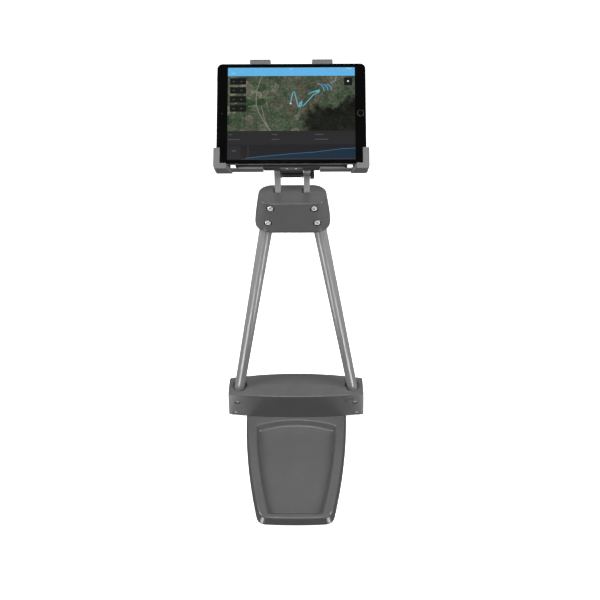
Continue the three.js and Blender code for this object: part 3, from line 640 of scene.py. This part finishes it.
def make_camera():
    data = bpy.data.cameras.new("camera")
    data.lens = CAMERA_LENS
    data.sensor_width = CAMERA_SENSOR
    camera = bpy.data.objects.new("camera", data)
    tip = Matrix.Rotation(math.radians(90 - CAMERA_PITCH), 4, "X")
    pan = Matrix.Rotation(math.radians(CAMERA_PAN), 4, "Y")
    roll = Matrix.Rotation(math.radians(CAMERA_ROLL), 4, "Z")
    camera.matrix_world = Matrix.Translation(CAMERA_PLACE) @ tip @ pan @ roll
    bpy.context.scene.collection.objects.link(camera)
    bpy.context.scene.camera = camera


def area_light(name, place, target, size, power):
    data = bpy.data.lights.new(name, "AREA")
    data.shape = "RECTANGLE"
    data.size, data.size_y = size
    data.energy = power
    light = bpy.data.objects.new(name, data)
    aim = (Vector(target) - Vector(place)).to_track_quat("-Z", "Y")
    light.matrix_world = Matrix.Translation(place) @ aim.to_matrix().to_4x4()
    bpy.context.scene.collection.objects.link(light)


def make_floor():
    """A white floor that the camera sees, but that neither shades the object nor shines on it."""
    bm = bmesh.new()
    bmesh.ops.create_grid(bm, x_segments=1, y_segments=1, size=30)
    floor = new_object("studio_floor", bm, smooth=False)
    n = Nodes("studio_floor")
    cloud = n.noise(n.place(), 3, 2)
    n.put(n.mix(cloud, grey(0.86), grey(0.88)), n.shader.inputs["Base Color"])
    n.shader.inputs["Roughness"].default_value = 0.9
    n.shader.inputs["Emission Color"].default_value = (1, 1, 1, 1)
    n.shader.inputs["Emission Strength"].default_value = 0.9
    floor.data.materials.append(n.material)
    floor.visible_diffuse = False
    floor.visible_glossy = False
    floor.visible_shadow = False


def make_sky():
    """A sky that is bright overhead and dark near the horizon."""
    world = bpy.data.worlds.new("studio")
    bpy.context.scene.world = world
    world.use_nodes = True
    tree = world.node_tree
    background = tree.nodes["Background"]
    where = tree.nodes.new("ShaderNodeTexCoord")
    split = tree.nodes.new("ShaderNodeSeparateXYZ")
    height = tree.nodes.new("ShaderNodeMapRange")
    ramp = tree.nodes.new("ShaderNodeValToRGB")
    tree.links.new(where.outputs["Generated"], split.inputs["Vector"])
    tree.links.new(split.outputs["Z"], height.inputs["Value"])
    height.inputs["From Min"].default_value = -1
    tree.links.new(height.outputs["Result"], ramp.inputs["Fac"])
    tree.links.new(ramp.outputs["Color"], background.inputs["Color"])
    stops = ramp.color_ramp.elements
    stops[0].color = grey(SKY_BELOW)
    stops[1].color = grey(SKY_ABOVE)
    for position, level in ((0.35, SKY_LOW), (0.5, SKY_HORIZON), (0.72, SKY_MIDDLE)):
        stops.new(position).color = grey(level)


def make_lights():
    """A key light above and in front, strips round the stand, and two lights below the floor's level."""
    area_light("key", (-0.1, PLAN_Y - 1.2, 2.9), (0, PLAN_Y, 0.4), (0.9, 0.5), KEY_POWER)
    area_light("front", (0, PLAN_Y - 2.6, 1.25), (0, PLAN_Y, 0.2), (1.0, 0.2), FRONT_POWER)
    area_light("back", (0, PLAN_Y + 2.2, 1.9), (0, PLAN_Y, 0.4), (1.6, 0.6), BACK_POWER)
    for name, side in (("left", -1), ("right", 1)):
        area_light(name, (side * 1.0, PLAN_Y - 0.3, 0.95), (0, PLAN_Y, 0.62), (0.3, 0.7), SIDE_POWER)
        low_place = (side * 0.75, PLAN_Y - 1.0, -1.0)
        area_light(f"{name}_low", low_place, (side * 0.2, PLAN_Y, 0.1), (0.4, 0.6), LOW_POWER)


make_camera()
make_floor()
make_sky()
make_lights()
bpy.context.scene.view_settings.view_transform = "Standard"

# ------------------------------------------------------------------ materials

SHELL = plastic("shell_plastic", 0.08, 0.31)
HOLDER_PLASTIC = plastic("holder_plastic", 0.1, 0.45)
BLACK = plastic("black_plastic", 0.022, 0.4)
TUBE_STEEL = coated_steel("tube_steel", 0.32, 0.34, 2, 0.4)
BAR_STEEL = coated_steel("bar_steel", 0.35, 0.45, 2, 0.3)
ZINC = zinc()
BALLAST = coated_steel("ballast_steel", 0.08, 0.6, 0, 0.5)
RUBBER = rubber()
ALUMINIUM = anodised()
BEZEL = black_glass("bezel_glass", 0.0006)
BUTTON = black_glass("button_glass", 0.001, 0.12)
RING = coated_steel("button_ring", 0.1, 0.3, 0)
LENS = black_glass("camera_glass", 0.01, 0.03)
POUCH = foil()
BOARD = solder_mask()
MAP = satellite_map()
BAR_BLUE = screen_paint("screen_bar", (100, 179, 228))
PANEL = screen_paint("screen_panel", (43, 42, 44))
GRAPH_GROUND = screen_paint("screen_graph_ground", (35, 34, 38))
GRAPH = screen_paint("screen_graph", (27, 46, 62))
GRAPH_LINE = screen_paint("screen_graph_line", (62, 108, 140))
ROAD = screen_paint("screen_road", (122, 126, 112))
ROUTE = screen_paint("screen_route", (104, 168, 184))
ROUTE_DEEP = screen_paint("screen_route_deep", (44, 104, 146))
BOX = screen_paint("screen_box", (25, 25, 24))
MARK = screen_paint("screen_mark", (74, 76, 78))
WHITE = screen_paint("screen_white", (222, 226, 226))
PALE = screen_paint("screen_pale", (160, 208, 238))

# ------------------------------------------------------------------ foot plate


def foot_pads():
    """The middles of the four pads, in metres."""
    return [middle(f"foot_pad_{row}_{side}") for row in ("front", "rear") for side in ("left", "right")]


def make_foot_plate():
    """One skin from the ballast pocket, round the outer wall and over the rim, down to the tray floor."""
    edge, foot, lip, fillet = 4.0, 2.5, 2.0, 4.0
    rings = [
        at_height(tray_outline(TRAY, BALLAST_INSET), BALLAST_POCKET_TOP),
        at_height(tray_outline(TRAY, BALLAST_INSET), TRAY_BOTTOM + 0.5),
        at_height(tray_outline(TRAY, BALLAST_INSET - 0.5), TRAY_BOTTOM),
    ]
    for across, along in quarter():
        rings.append(at_height(tray_outline(TRAY, foot * (1 - along)), TRAY_BOTTOM + foot * across))
    for across, along in quarter(8):
        inset = TRAY_DRAFT + edge * across
        rings.append(at_height(tray_outline(TRAY, inset), TRAY_TOP - edge * (1 - along)))
    slope = RECESS_SLOPE / RECESS_DEPTH
    for across, along in quarter():
        drop = lip * across
        inset = slope * drop - 1.2 * lip * (1 - along)
        rings.append(at_height(tray_outline(RECESS, inset), TRAY_TOP - drop))
    for across, along in quarter():
        drop = RECESS_DEPTH - fillet * (1 - along)
        rings.append(at_height(tray_outline(RECESS, slope * drop + fillet * across), TRAY_TOP - drop))
    plate = loft("foot_plate_moulding", rings)
    holes = []
    for pad in foot_pads():
        x, y = pad.x / MM, (pad.y - PLAN_Y) / MM
        holes.append(rod("hole", (x, y, 0), (x, y, PAD_HOLE_TOP), PAD_RADIUS + GAP))
    cut(plate, holes)
    dress(plate, SHELL, "stand", "grey_plastic", "foot_plate", matrix=STAND)
    plate.data.shade_smooth()


make_foot_plate()

# ------------------------------------------------------------------ crossbar and head shells


def bow(end, centre, share):
    """A size that is end at share -1 and 1 and swells to centre at share 0."""
    return end + (centre - end) * (1 - share * share)


def crossbar_section(share, x_inset, inset):
    """An upright section of the crossbar at a share of its half length, with rounded shoulders."""
    front = bow(CROSSBAR_FRONT, CROSSBAR_FRONT_MIDDLE, share) + inset
    rear = bow(CROSSBAR_REAR, CROSSBAR_REAR_MIDDLE, share) - inset
    crest = bow(CREST_END, CREST_MIDDLE, share) - inset
    shoulder = CROSSBAR_SHOULDER - inset
    bottom = CROSSBAR_BOTTOM + inset
    edge = 3.0
    outline = [(front + 1, bottom), (rear - 1, bottom), (rear, bottom + 1)]
    outline += [(rear - edge * a, shoulder - edge * (1 - b)) for a, b in quarter(4)]
    outline += [(0, crest)]
    outline += [(front + edge * (1 - b), shoulder - edge * a) for a, b in quarter(4)]
    outline += [(front, bottom + 1)]

    def x_at(z):
        rise = (z - CROSSBAR_BOTTOM) / (CROSSBAR_SHOULDER - CROSSBAR_BOTTOM)
        return share * (CROSSBAR_HALF - CROSSBAR_TAPER * rise - x_inset)

    return [Vector((x_at(z), y, z)) for y, z in outline]


def tube_rod(name, side, low, high, radius, end_radius=None):
    """A rod along the axis of the left (side -1) or right (side 1) tube, between two heights."""
    ends = [(side * tube_x(z), 0, z) for z in (low, high)]
    return rod(name, *ends, radius, end_radius)


def shell_cuts(screw_rows, front, rear):
    """The tubes' channels and, on each tube, the screws' recesses, bores and nut pockets."""
    tools = []
    past = 20
    recess_floor = front + SCREW_HEAD_HEIGHT + SCREW_RECESS_SPARE
    for side in (-1, 1):
        ends = (TUBE_BOTTOM - 2 * GAP, TUBE_TOP + 2 * GAP)
        tools.append(tube_rod("channel", side, *ends, TUBE_RADIUS + GAP))
        for z in screw_rows:
            x = side * tube_x(z)
            nut_floor = rear - NUT_POCKET_DEPTH
            tools.append(rod("recess", (x, front - past, z), (x, recess_floor, z), SCREW_RECESS))
            tools.append(rod("shank", (x, front, z), (x, rear, z), SCREW_SHANK + GAP, sides=24))
            tools.append(rod("nut", (x, nut_floor, z), (x, rear + past, z), NUT_POCKET, sides=6))
    return tools


def split_shell(shell, names, nodes):
    """Parts a shell at the tubes' plane into its front and rear halves."""
    reach, height = 400, 1000
    for sign, name, node in zip((-1, 1), names, nodes):
        half = bpy.data.objects.new(name, shell.data.copy())
        bpy.context.scene.collection.objects.link(half)
        near, far = sorted((sign * GAP / 2, sign * reach))
        keep = block("keep", (-reach, near, 0), (reach, far, height))
        combine(half, [keep], "INTERSECT")
        dress(half, SHELL, "stand", "grey_plastic", node, matrix=STAND)
        half.data.shade_smooth()
        soften(half, 0.7, 2, 40)
    bpy.data.objects.remove(shell)


def make_crossbar():
    rounding = 2.5
    ends = [(rounding * a, rounding * (1 - b)) for a, b in quarter(4)]
    stations = [(-1, x, i) for x, i in ends]
    stations += [(share / 20, 0, 0) for share in range(-19, 20)]
    stations += [(1, x, i) for x, i in reversed(ends)]
    shell = loft("crossbar", [crossbar_section(share, x, i) for share, x, i in stations])
    socket = (SOCKET_BOTTOM, SOCKET_TOP, SOCKET_RADIUS, SOCKET_MOUTH)
    sockets = [tube_rod("socket", side, *socket) for side in (-1, 1)]
    cut(shell, sockets + shell_cuts(FOOT_SCREW_Z, CROSSBAR_FRONT, CROSSBAR_REAR))
    split_shell(shell, ("crossbar_front_moulding", "crossbar_rear_moulding"),
                ("crossbar_front_shell", "crossbar_rear_shell"))


def head_half_width(z):
    """Half width of the head: leaning sides that turn in with a round corner below."""
    if z >= HEAD_WIDE_Z:
        rise = (z - HEAD_WIDE_Z) / (HEAD_TOP - HEAD_WIDE_Z)
        return HEAD_HALF_WIDE + (HEAD_HALF_TOP - HEAD_HALF_WIDE) * rise ** 1.15
    drop = (HEAD_WIDE_Z - z) / (HEAD_WIDE_Z - HEAD_BOTTOM)
    swell = math.sqrt(max(0, 1 - drop ** 3))
    return HEAD_HALF_BOTTOM + (HEAD_HALF_WIDE - HEAD_HALF_BOTTOM) * swell


def head_ring(z, inset):
    half_x, half_y = head_half_width(z) - inset, HEAD_HALF_DEPTH - inset
    return at_height(rounded_rectangle(half_x, half_y, HEAD_CORNER, 14, (0, HEAD_CENTRE)), z)


def make_head():
    """A skin from the rounded bottom edge, over a fine shadow groove, to the rounded top edge."""
    turn_in, turn_in_height, edge = 3.5, 8, 1.6
    rises = (0, 0.4, 1.2, 2.5, 4.5, 7, 10, 14, 19, 28, 38, 48, 58, 64)
    groove = ((2.9, 0), (2.7, 0.8), (2.0, 0.8), (1.8, 0))
    insets = [turn_in * max(0, 1 - rise / turn_in_height) ** 2 for rise in rises]
    rings = [head_ring(HEAD_BOTTOM + rise, inset) for rise, inset in zip(rises, insets)]
    rings += [head_ring(HEAD_TOP - drop, inset) for drop, inset in groove]
    rings += [head_ring(HEAD_TOP - edge * (1 - along), edge * across) for across, along in quarter(5)]
    shell = loft("head", rings)
    slots = []
    for side in ("left", "right"):
        low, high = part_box(f"bar_{side}")
        start = (low.x / MM - 2.6, SLOT_FRONT, SLOT_BOTTOM)
        end = (high.x / MM + 0.8, SLOT_REAR, HEAD_TOP + 19)
        slots.append(block("slot", start, end))
    cut(shell, slots + shell_cuts(HEAD_SCREW_Z, HEAD_FRONT, HEAD_REAR))
    split_shell(shell, ("head_front_moulding", "head_rear_moulding"),
                ("head_front_shell", "head_rear_shell"))


make_crossbar()
make_head()

# ------------------------------------------------------------------ tubes and screws


def make_tube(side, name):
    """A leaning tube, cut away at its top inside the head to clear the sliding bars."""
    bottom = Vector((side * tube_x(TUBE_BOTTOM), 0, TUBE_BOTTOM))
    top = Vector((side * tube_x(TUBE_TOP), 0, TUBE_TOP))
    length = (top - bottom).length
    tube = turned("tube", [(0, 0), (TUBE_RADIUS, 0), (TUBE_RADIUS, length), (0, length)], 96)
    cut(tube, [rod("bore", (0, 0, -1), (0, 0, length + 1), TUBE_BORE, sides=96)])
    lean = (top - bottom).to_track_quat("Z", "Y").to_matrix().to_4x4()
    tube.data.transform(Matrix.Translation(bottom * MM) @ lean)
    near, far = sorted((0, side * TUBE_INNER_CUT))
    cut(tube, [block("clearance", (near, -20, HEAD_BOTTOM), (far, 20, HEAD_TOP + 19))])
    tube.name = f"{name}_drawn"
    dress(tube, TUBE_STEEL, "stand", "tube_steel", name, matrix=STAND)
    soften(tube, 0.3, 2, 50)


def screw_profile(length):
    """A cap screw's half profile from its socket mouth to its tip, in mm."""
    head, height, shank = SCREW_HEAD, SCREW_HEAD_HEIGHT, SCREW_SHANK
    round_edge, chamfer, tip = 1.4, 0.3, 0.8
    top = [(0, 0)] + [(head - round_edge * (1 - b), round_edge * a) for a, b in quarter(5)]
    under_head = [(head, height - chamfer), (head - chamfer, height), (shank, height)]
    return top + under_head + [(shank, length - tip), (shank - tip, length), (0, length)]


def make_screw(node, face, rear):
    """A socket-head screw that enters a shell's front face and ends just short of its rear face."""
    place = middle(node)
    head_y = face + SCREW_SUNK
    screw = turned("screw", screw_profile(rear - SCREW_SHORT - face - SCREW_SUNK), 40)
    cut(screw, [rod("socket", (0, 0, -1), (0, 0, 3), SCREW_KEY, sides=6)])
    point_back = Matrix.Rotation(math.radians(-90), 4, "X")
    screw.data.transform(Matrix.Translation((place.x, PLAN_Y + head_y * MM, place.z)) @ point_back)
    screw.name = f"{node}_turned"
    dress(screw, ZINC, "stand", "zinc_fastener", node)
    soften(screw, 0.25, 2, 45)


make_tube(-1, "tube_left")
make_tube(1, "tube_right")
for side in ("left", "right"):
    for level in ("upper", "lower"):
        make_screw(f"head_screw_{level}_{side}", HEAD_FRONT, HEAD_REAR)
        make_screw(f"foot_screw_{level}_{side}", CROSSBAR_FRONT, CROSSBAR_REAR)
        repaint(f"head_nut_{level}_{side}", ZINC, 0.4)
        repaint(f"foot_nut_{level}_{side}", ZINC, 0.4)
    repaint(f"bar_{side}", BAR_STEEL, 0.6)
    repaint(f"foot_pad_front_{side}", RUBBER, 0.8)
    repaint(f"foot_pad_rear_{side}", RUBBER, 0.8)
    repaint(f"arm_pad_{side}", RUBBER, 1.2, 3)
    repaint(f"hook_{side}", HOLDER_PLASTIC, 0.9, 3)
repaint("ballast_plate", BALLAST, 0.5)
repaint("bar_bridge", BAR_STEEL, 0.5)
repaint("hinge_bolt", ZINC, 0.3)
repaint("lever_insert", ZINC, 0.4)
repaint("spacer_sleeve", BLACK, 0.4)
repaint("clamp_lever", BLACK, 0.9, 3)
repaint("hinge_bracket", BLACK, 0.6)
repaint("lower_rail", BLACK, 0.8, 3)
repaint("holder_spine", BLACK, 1.0, 3)
repaint("upper_slider", BLACK, 0.8, 3)
repaint("lock_knob", BLACK, 1.0, 3)
repaint("tablet_housing", ALUMINIUM, 0.7, 3)
repaint("battery", POUCH, 0.5)
repaint("logic_board", BOARD, 0.3)
repaint("front_camera", LENS)
repaint("rear_camera", LENS, 0.4)
for button in ("power", "volume_up", "volume_down"):
    repaint(f"{button}_button", ALUMINIUM, 0.3)

# ------------------------------------------------------------------ holder arms and bracket cover

CUP_INNER, CUP_SIDE, CUP_OUTER = 100.6, 125.6, 129.8
CUP_BOTTOM, CUP_FLOOR, CUP_TOP = -95.7, -87.35, -60
CUP_REAR, CUP_FRONT = -25.5, 3
CUP_CORNER, CUP_CROWN = 4.5, 1.5
CUP_BACK, CUP_BACK_INNER = 3.4, 104
LIP_INNER, LIP_SIDE, LIP_TOP, LIP_REAR = 108.5, 119.1, -86.35, 0.35
FOOT_INNER, FOOT_BOTTOM, FOOT_TOP, FOOT_REAR = 48, -91.6, -87.8, -30
RIB_INNER, RIB_OUTER, RIB_TOP = 52, 89, -78.4


def corner_arc(x, y, radius, start, steps=6):
    """A quarter arc about (x, y), counted counter-clockwise from a start angle in degrees."""
    angles = [math.radians(start + 90 * i / steps) for i in range(steps + 1)]
    return [(x + radius * math.cos(a), y + radius * math.sin(a)) for a in angles]


def make_cup():
    """The right cup: walls with a rounded corner, lips over the tablet's front, and a thin back."""
    corner = corner_arc(CUP_OUTER - CUP_CORNER, CUP_BOTTOM + CUP_CORNER, CUP_CORNER, -90)
    crown = corner_arc(CUP_OUTER - CUP_CROWN, CUP_TOP - CUP_CROWN, CUP_CROWN, 0)
    outside = corner + crown
    walls = [(CUP_INNER, CUP_BOTTOM)] + outside
    walls += [(CUP_SIDE, CUP_TOP), (CUP_SIDE, CUP_FLOOR), (CUP_INNER, CUP_FLOOR)]
    lips = [(LIP_INNER, CUP_BOTTOM)] + outside
    lips += [(LIP_SIDE, CUP_TOP), (LIP_SIDE, LIP_TOP), (LIP_INNER, LIP_TOP)]
    back = [(CUP_BACK_INNER, CUP_BOTTOM)] + corner
    back += [(CUP_OUTER, CUP_TOP - 2), (CUP_BACK_INNER, CUP_TOP - 2)]
    past = 1
    wedge = [
        (CUP_INNER, CUP_REAR),
        (LIP_INNER, CUP_FRONT),
        (LIP_INNER, CUP_FRONT + past),
        (CUP_INNER - past, CUP_FRONT + past),
        (CUP_INNER - past, CUP_REAR),
    ]
    cup = prism("cup", walls, CUP_REAR, CUP_FRONT)
    cut(cup, [prism("wedge", wedge, CUP_BOTTOM - past, CUP_FLOOR + past, "xzy")])
    return union(cup, [
        prism("lips", lips, LIP_REAR, CUP_FRONT),
        prism("back", back, CUP_REAR, CUP_REAR + CUP_BACK),
    ])


def make_arm(side, name):
    """A cup on its sliding foot, with the T rib that runs in the rail."""
    neck_end = CUP_BACK_INNER
    arm = union(make_cup(), [
        block("foot", (FOOT_INNER, FOOT_BOTTOM, FOOT_REAR), (89.5, FOOT_TOP, -12)),
        block("neck", (88.5, FOOT_BOTTOM, FOOT_REAR), (neck_end, -89.2, -14)),
        block("rib_web", (RIB_INNER, FOOT_TOP - 1, -23.6), (RIB_OUTER, RIB_TOP, -18.4)),
        block("rib_flange", (RIB_INNER, -82.6, -26.6), (RIB_OUTER, RIB_TOP, -15.4)),
    ])
    if side < 0:
        arm.data.transform(Matrix.Scale(-1, 4, (1, 0, 0)))
        arm.data.flip_normals()
    arm.name = f"arm_{name}_moulding"
    dress(arm, HOLDER_PLASTIC, f"{name}_arm", "holder_plastic", f"arm_{name}", matrix=HOLDER)
    soften(arm, 0.8, 3, 40)


def make_bracket_cover():
    """The thin cover under the rail, with two small rivet heads at its front edge."""
    rear, front = -24.3, -12
    under, top = -91, -89.6
    outline = [(-17.6, rear), (17.6, rear), (18.8, front), (-18.8, front)]
    cover = prism("bracket_cover_plate", outline, under, top, "xzy")
    dress(cover, HOLDER_PLASTIC, "holder", "holder_plastic", "bracket_cover", matrix=HOLDER)
    soften(cover, 0.5, 2)
    rivet_y, rivet_z = under + 0.1, front - 1.6
    for x, name in ((-7.6, "left"), (7.6, "right")):
        rivet = rod(f"cover_rivet_{name}", (x, rivet_y, rivet_z), (x, rivet_y - 1, rivet_z), 1.5, 1.1, 24)
        dress(rivet, ZINC, "holder", "zinc_fastener", matrix=HOLDER)
        soften(rivet, 0.2, 2)


make_arm(-1, "left")
make_arm(1, "right")
make_bracket_cover()

# ------------------------------------------------------------------ tablet front

TABLET_HALF_X, TABLET_HALF_Y, TABLET_CORNER = 125.1, 86.85, 8.8
SCREEN_HALF_X, SCREEN_HALF_Y = 107, 80.25
HOME_X, HOME_HOLE = 116.2, 5.6
CAMERA_X, CAMERA_HOLE = -116.2, 1.7
PICTURE_BACK, PICTURE_FRONT, PICTURE_STEP = -2.4, -0.14, 0.02


def make_bezel_glass():
    """The black front glass: a frame round the lit screen, with the button's and the camera's holes."""
    outline = rounded_rectangle(TABLET_HALF_X, TABLET_HALF_Y, TABLET_CORNER)
    window = rounded_rectangle(SCREEN_HALF_X, SCREEN_HALF_Y, 0.6, 3)
    glass = prism("bezel_glass_sheet", outline, -GLASS_SHEET, 0)
    through = 2
    cut(glass, [
        prism("window", window, -through, through),
        rod("home_hole", (HOME_X, 0, -through), (HOME_X, 0, through), HOME_HOLE, sides=64),
        rod("camera_hole", (CAMERA_X, 0, -through), (CAMERA_X, 0, through), CAMERA_HOLE, sides=32),
    ])
    dress(glass, BEZEL, "holder", "bezel_glass", "front_glass", matrix=HOLDER)
    soften(glass, 0.15, 2, 50)


def make_home_button():
    """A slightly dished button in a thin metal ring."""
    place = HOLDER @ Matrix.Translation((HOME_X * MM, 0, 0))
    dished = [(0, -1.6), (5.3, -1.6), (5.3, -0.12), (4.85, -0.1), (0, -0.3)]
    disc = turned("home_button_disc", dished, 64)
    dress(disc, BUTTON, "home_key", "button_glass", "home_button", matrix=place)
    rim = [(0, -0.5), (5.35, -0.5), (5.35, -0.04), (4.85, -0.04), (4.75, -0.2), (0, -0.4)]
    ring = turned("home_button_ring", rim, 64)
    dress(ring, RING, "home_key", "button_glass", matrix=place)


def ribbon(points, width):
    """The outline of a line of constant width that follows points."""
    left, right = [], []
    for index, point in enumerate(points):
        before = Vector(points[max(index - 1, 0)])
        after = Vector(points[min(index + 1, len(points) - 1)])
        across = (after - before).normalized().orthogonal() * width / 2
        left.append(tuple(Vector(point) + across))
        right.append(tuple(Vector(point) - across))
    return left + right[::-1]


def rectangle(left, right, bottom, top):
    """The outline of an upright rectangle."""
    return [(left, bottom), (right, bottom), (right, top), (left, top)]


class Picture:
    """The screen's picture: flat prisms that end a hair's breadth above one another."""

    def __init__(self):
        self.bm = bmesh.new()
        self.paints = []

    def add(self, outline, layer, paint):
        if paint not in self.paints:
            self.paints.append(paint)
        heights = (PICTURE_BACK, PICTURE_FRONT + PICTURE_STEP * layer)
        back, front = ([self.bm.verts.new(Vector((x, y, z)) * MM) for x, y in outline] for z in heights)
        faces = []
        for i in range(len(outline)):
            j = (i + 1) % len(outline)
            faces.append(self.bm.faces.new((back[i], back[j], front[j], front[i])))
        faces.append(self.bm.faces.new(reversed(back)))
        faces.append(self.bm.faces.new(front))
        for face in faces:
            face.material_index = self.paints.index(paint)

    def line(self, points, width, layer, paint):
        self.add(ribbon(points, width), layer, paint)

    def finish(self, name):
        screen = new_object(name, self.bm, smooth=False)
        screen.data.transform(HOLDER)
        for paint in self.paints:
            screen.data.materials.append(paint)
        return screen


def draw_grounds(picture, right, top):
    """The map, the blue bar over it, and the dark panels under it."""
    bar_bottom, map_bottom, graph_top = 65.5, -30.5, -54
    picture.add(rectangle(-right, right, map_bottom, bar_bottom), 0, MAP)
    picture.add(rectangle(-right, right, bar_bottom, top), 1, BAR_BLUE)
    picture.add(rectangle(-right, right, -top, map_bottom), 1, PANEL)
    picture.add(rectangle(-right, right, -top, graph_top), 2, GRAPH_GROUND)
    picture.add(rectangle(-right, -84.5, -78.5, -56), 3, PANEL)
    for left, width, y in ((-101, 7, 70), (-3, 6, 77.4), (93, 9, 77.4)):
        picture.add(rectangle(left, left + width, y, y + 1.2), 3, PALE)


def draw_roads(picture):
    road = [(-49.6, 65), (-52, 58), (-55, 50), (-58, 40), (-59, 28), (-59, 16)]
    road += [(-55, 2), (-48, -10), (-41, -22), (-36, -30)]
    lane = [(-51, 14), (-48, 4), (-45, -10), (-39, -24), (-34, -30)]
    picture.line(road, 1.5, 2, ROAD)
    picture.line(lane, 1.1, 2, ROAD)
    picture.line([(-72, 12), (-66, 13), (-59, 14)], 1.0, 2, ROAD)


def draw_route(picture):
    """A climb with zigzags, a fan of bends above it, and the way out at the top."""
    climb = [(-1, 18), (0, 25), (2.5, 36), (5, 38.5), (6.5, 32), (9, 22), (12, 12), (15, 10), (14, 18)]
    climb += [(18, 22), (17, 12), (21, 14), (30, 24), (38, 33), (46, 36)]
    climb += [(38, 38), (27, 33), (36, 37), (48, 41)]
    picture.line(climb, 1.7, 3, ROUTE)
    for step in range(5):
        x = 45 + 3.2 * step
        bend = [(x - 1, 52 - 0.4 * step), (x + 5, 50), (x + 9, 45), (x + 10.5, 38 + 0.8 * step)]
        picture.line(bend, 1.2, 3 + step % 2, ROUTE_DEEP if step % 2 else ROUTE)
    picture.line([(66, 52), (70, 54), (74, 57), (76, 64)], 1.0, 3, ROUTE)


def draw_boxes(picture):
    """Four boxes down the left of the map, one at its upper right, and the route's start."""
    pitch, height = 15.8, 11.6
    for row in range(4):
        low = 50.4 - pitch * row
        picture.add(rectangle(-103.4, -76, low, low + height), 3, BOX)
        for x in (-97, -84):
            picture.add(rectangle(x - 1.8, x + 1.8, low + 4.8, low + 6.4), 4, MARK)
    picture.add(rectangle(89, 103, 48.5, 62), 3, BOX)
    picture.add(dot(95.5, 56, 1.6), 4, WHITE)
    picture.add(dot(-1, 17, 1.3), 5, WHITE)


def draw_readings(picture):
    """Short plain bars in three columns, and one in the cell beside the graph."""
    for x, widths in ((-105.5, (7, 20)), (-33, (10, 13)), (39, (15, 23))):
        for width, y in zip(widths, (-37.5, -46)):
            picture.add(rectangle(x, x + width, y, y + 1.6), 2, MARK)
    picture.add(rectangle(-99, -92, -66, -63.5), 4, MARK)


def draw_graph(picture, right):
    """A height graph that climbs to the right, with its base line and an upright marker."""
    base = -78.4
    profile = [(-76, -77.4), (-50, -74.6), (-20, -71.8), (4, -69.6)]
    profile += [(38, -67.4), (60, -64.6), (84, -61.6), (right, -60.6)]
    picture.add([(-76, base), (right, base)] + profile[::-1], 3, GRAPH)
    picture.line(profile, 0.9, 4, GRAPH_LINE)
    picture.add(rectangle(-84, right, -79.3, -78.6), 3, MARK)
    picture.add(rectangle(-72.4, -71.8, -77.5, -56), 5, MARK)


def make_screen():
    """A generic map with a route, a strip of readings and a height graph."""
    clearance = 0.05
    right, top = SCREEN_HALF_X - clearance, SCREEN_HALF_Y - clearance
    picture = Picture()
    draw_grounds(picture, right, top)
    draw_roads(picture)
    draw_route(picture)
    draw_boxes(picture)
    draw_readings(picture)
    draw_graph(picture, right)
    screen = picture.finish("lit_screen")
    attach(screen, "holder")
    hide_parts("display_panel")


make_bezel_glass()
make_home_button()
make_screen()
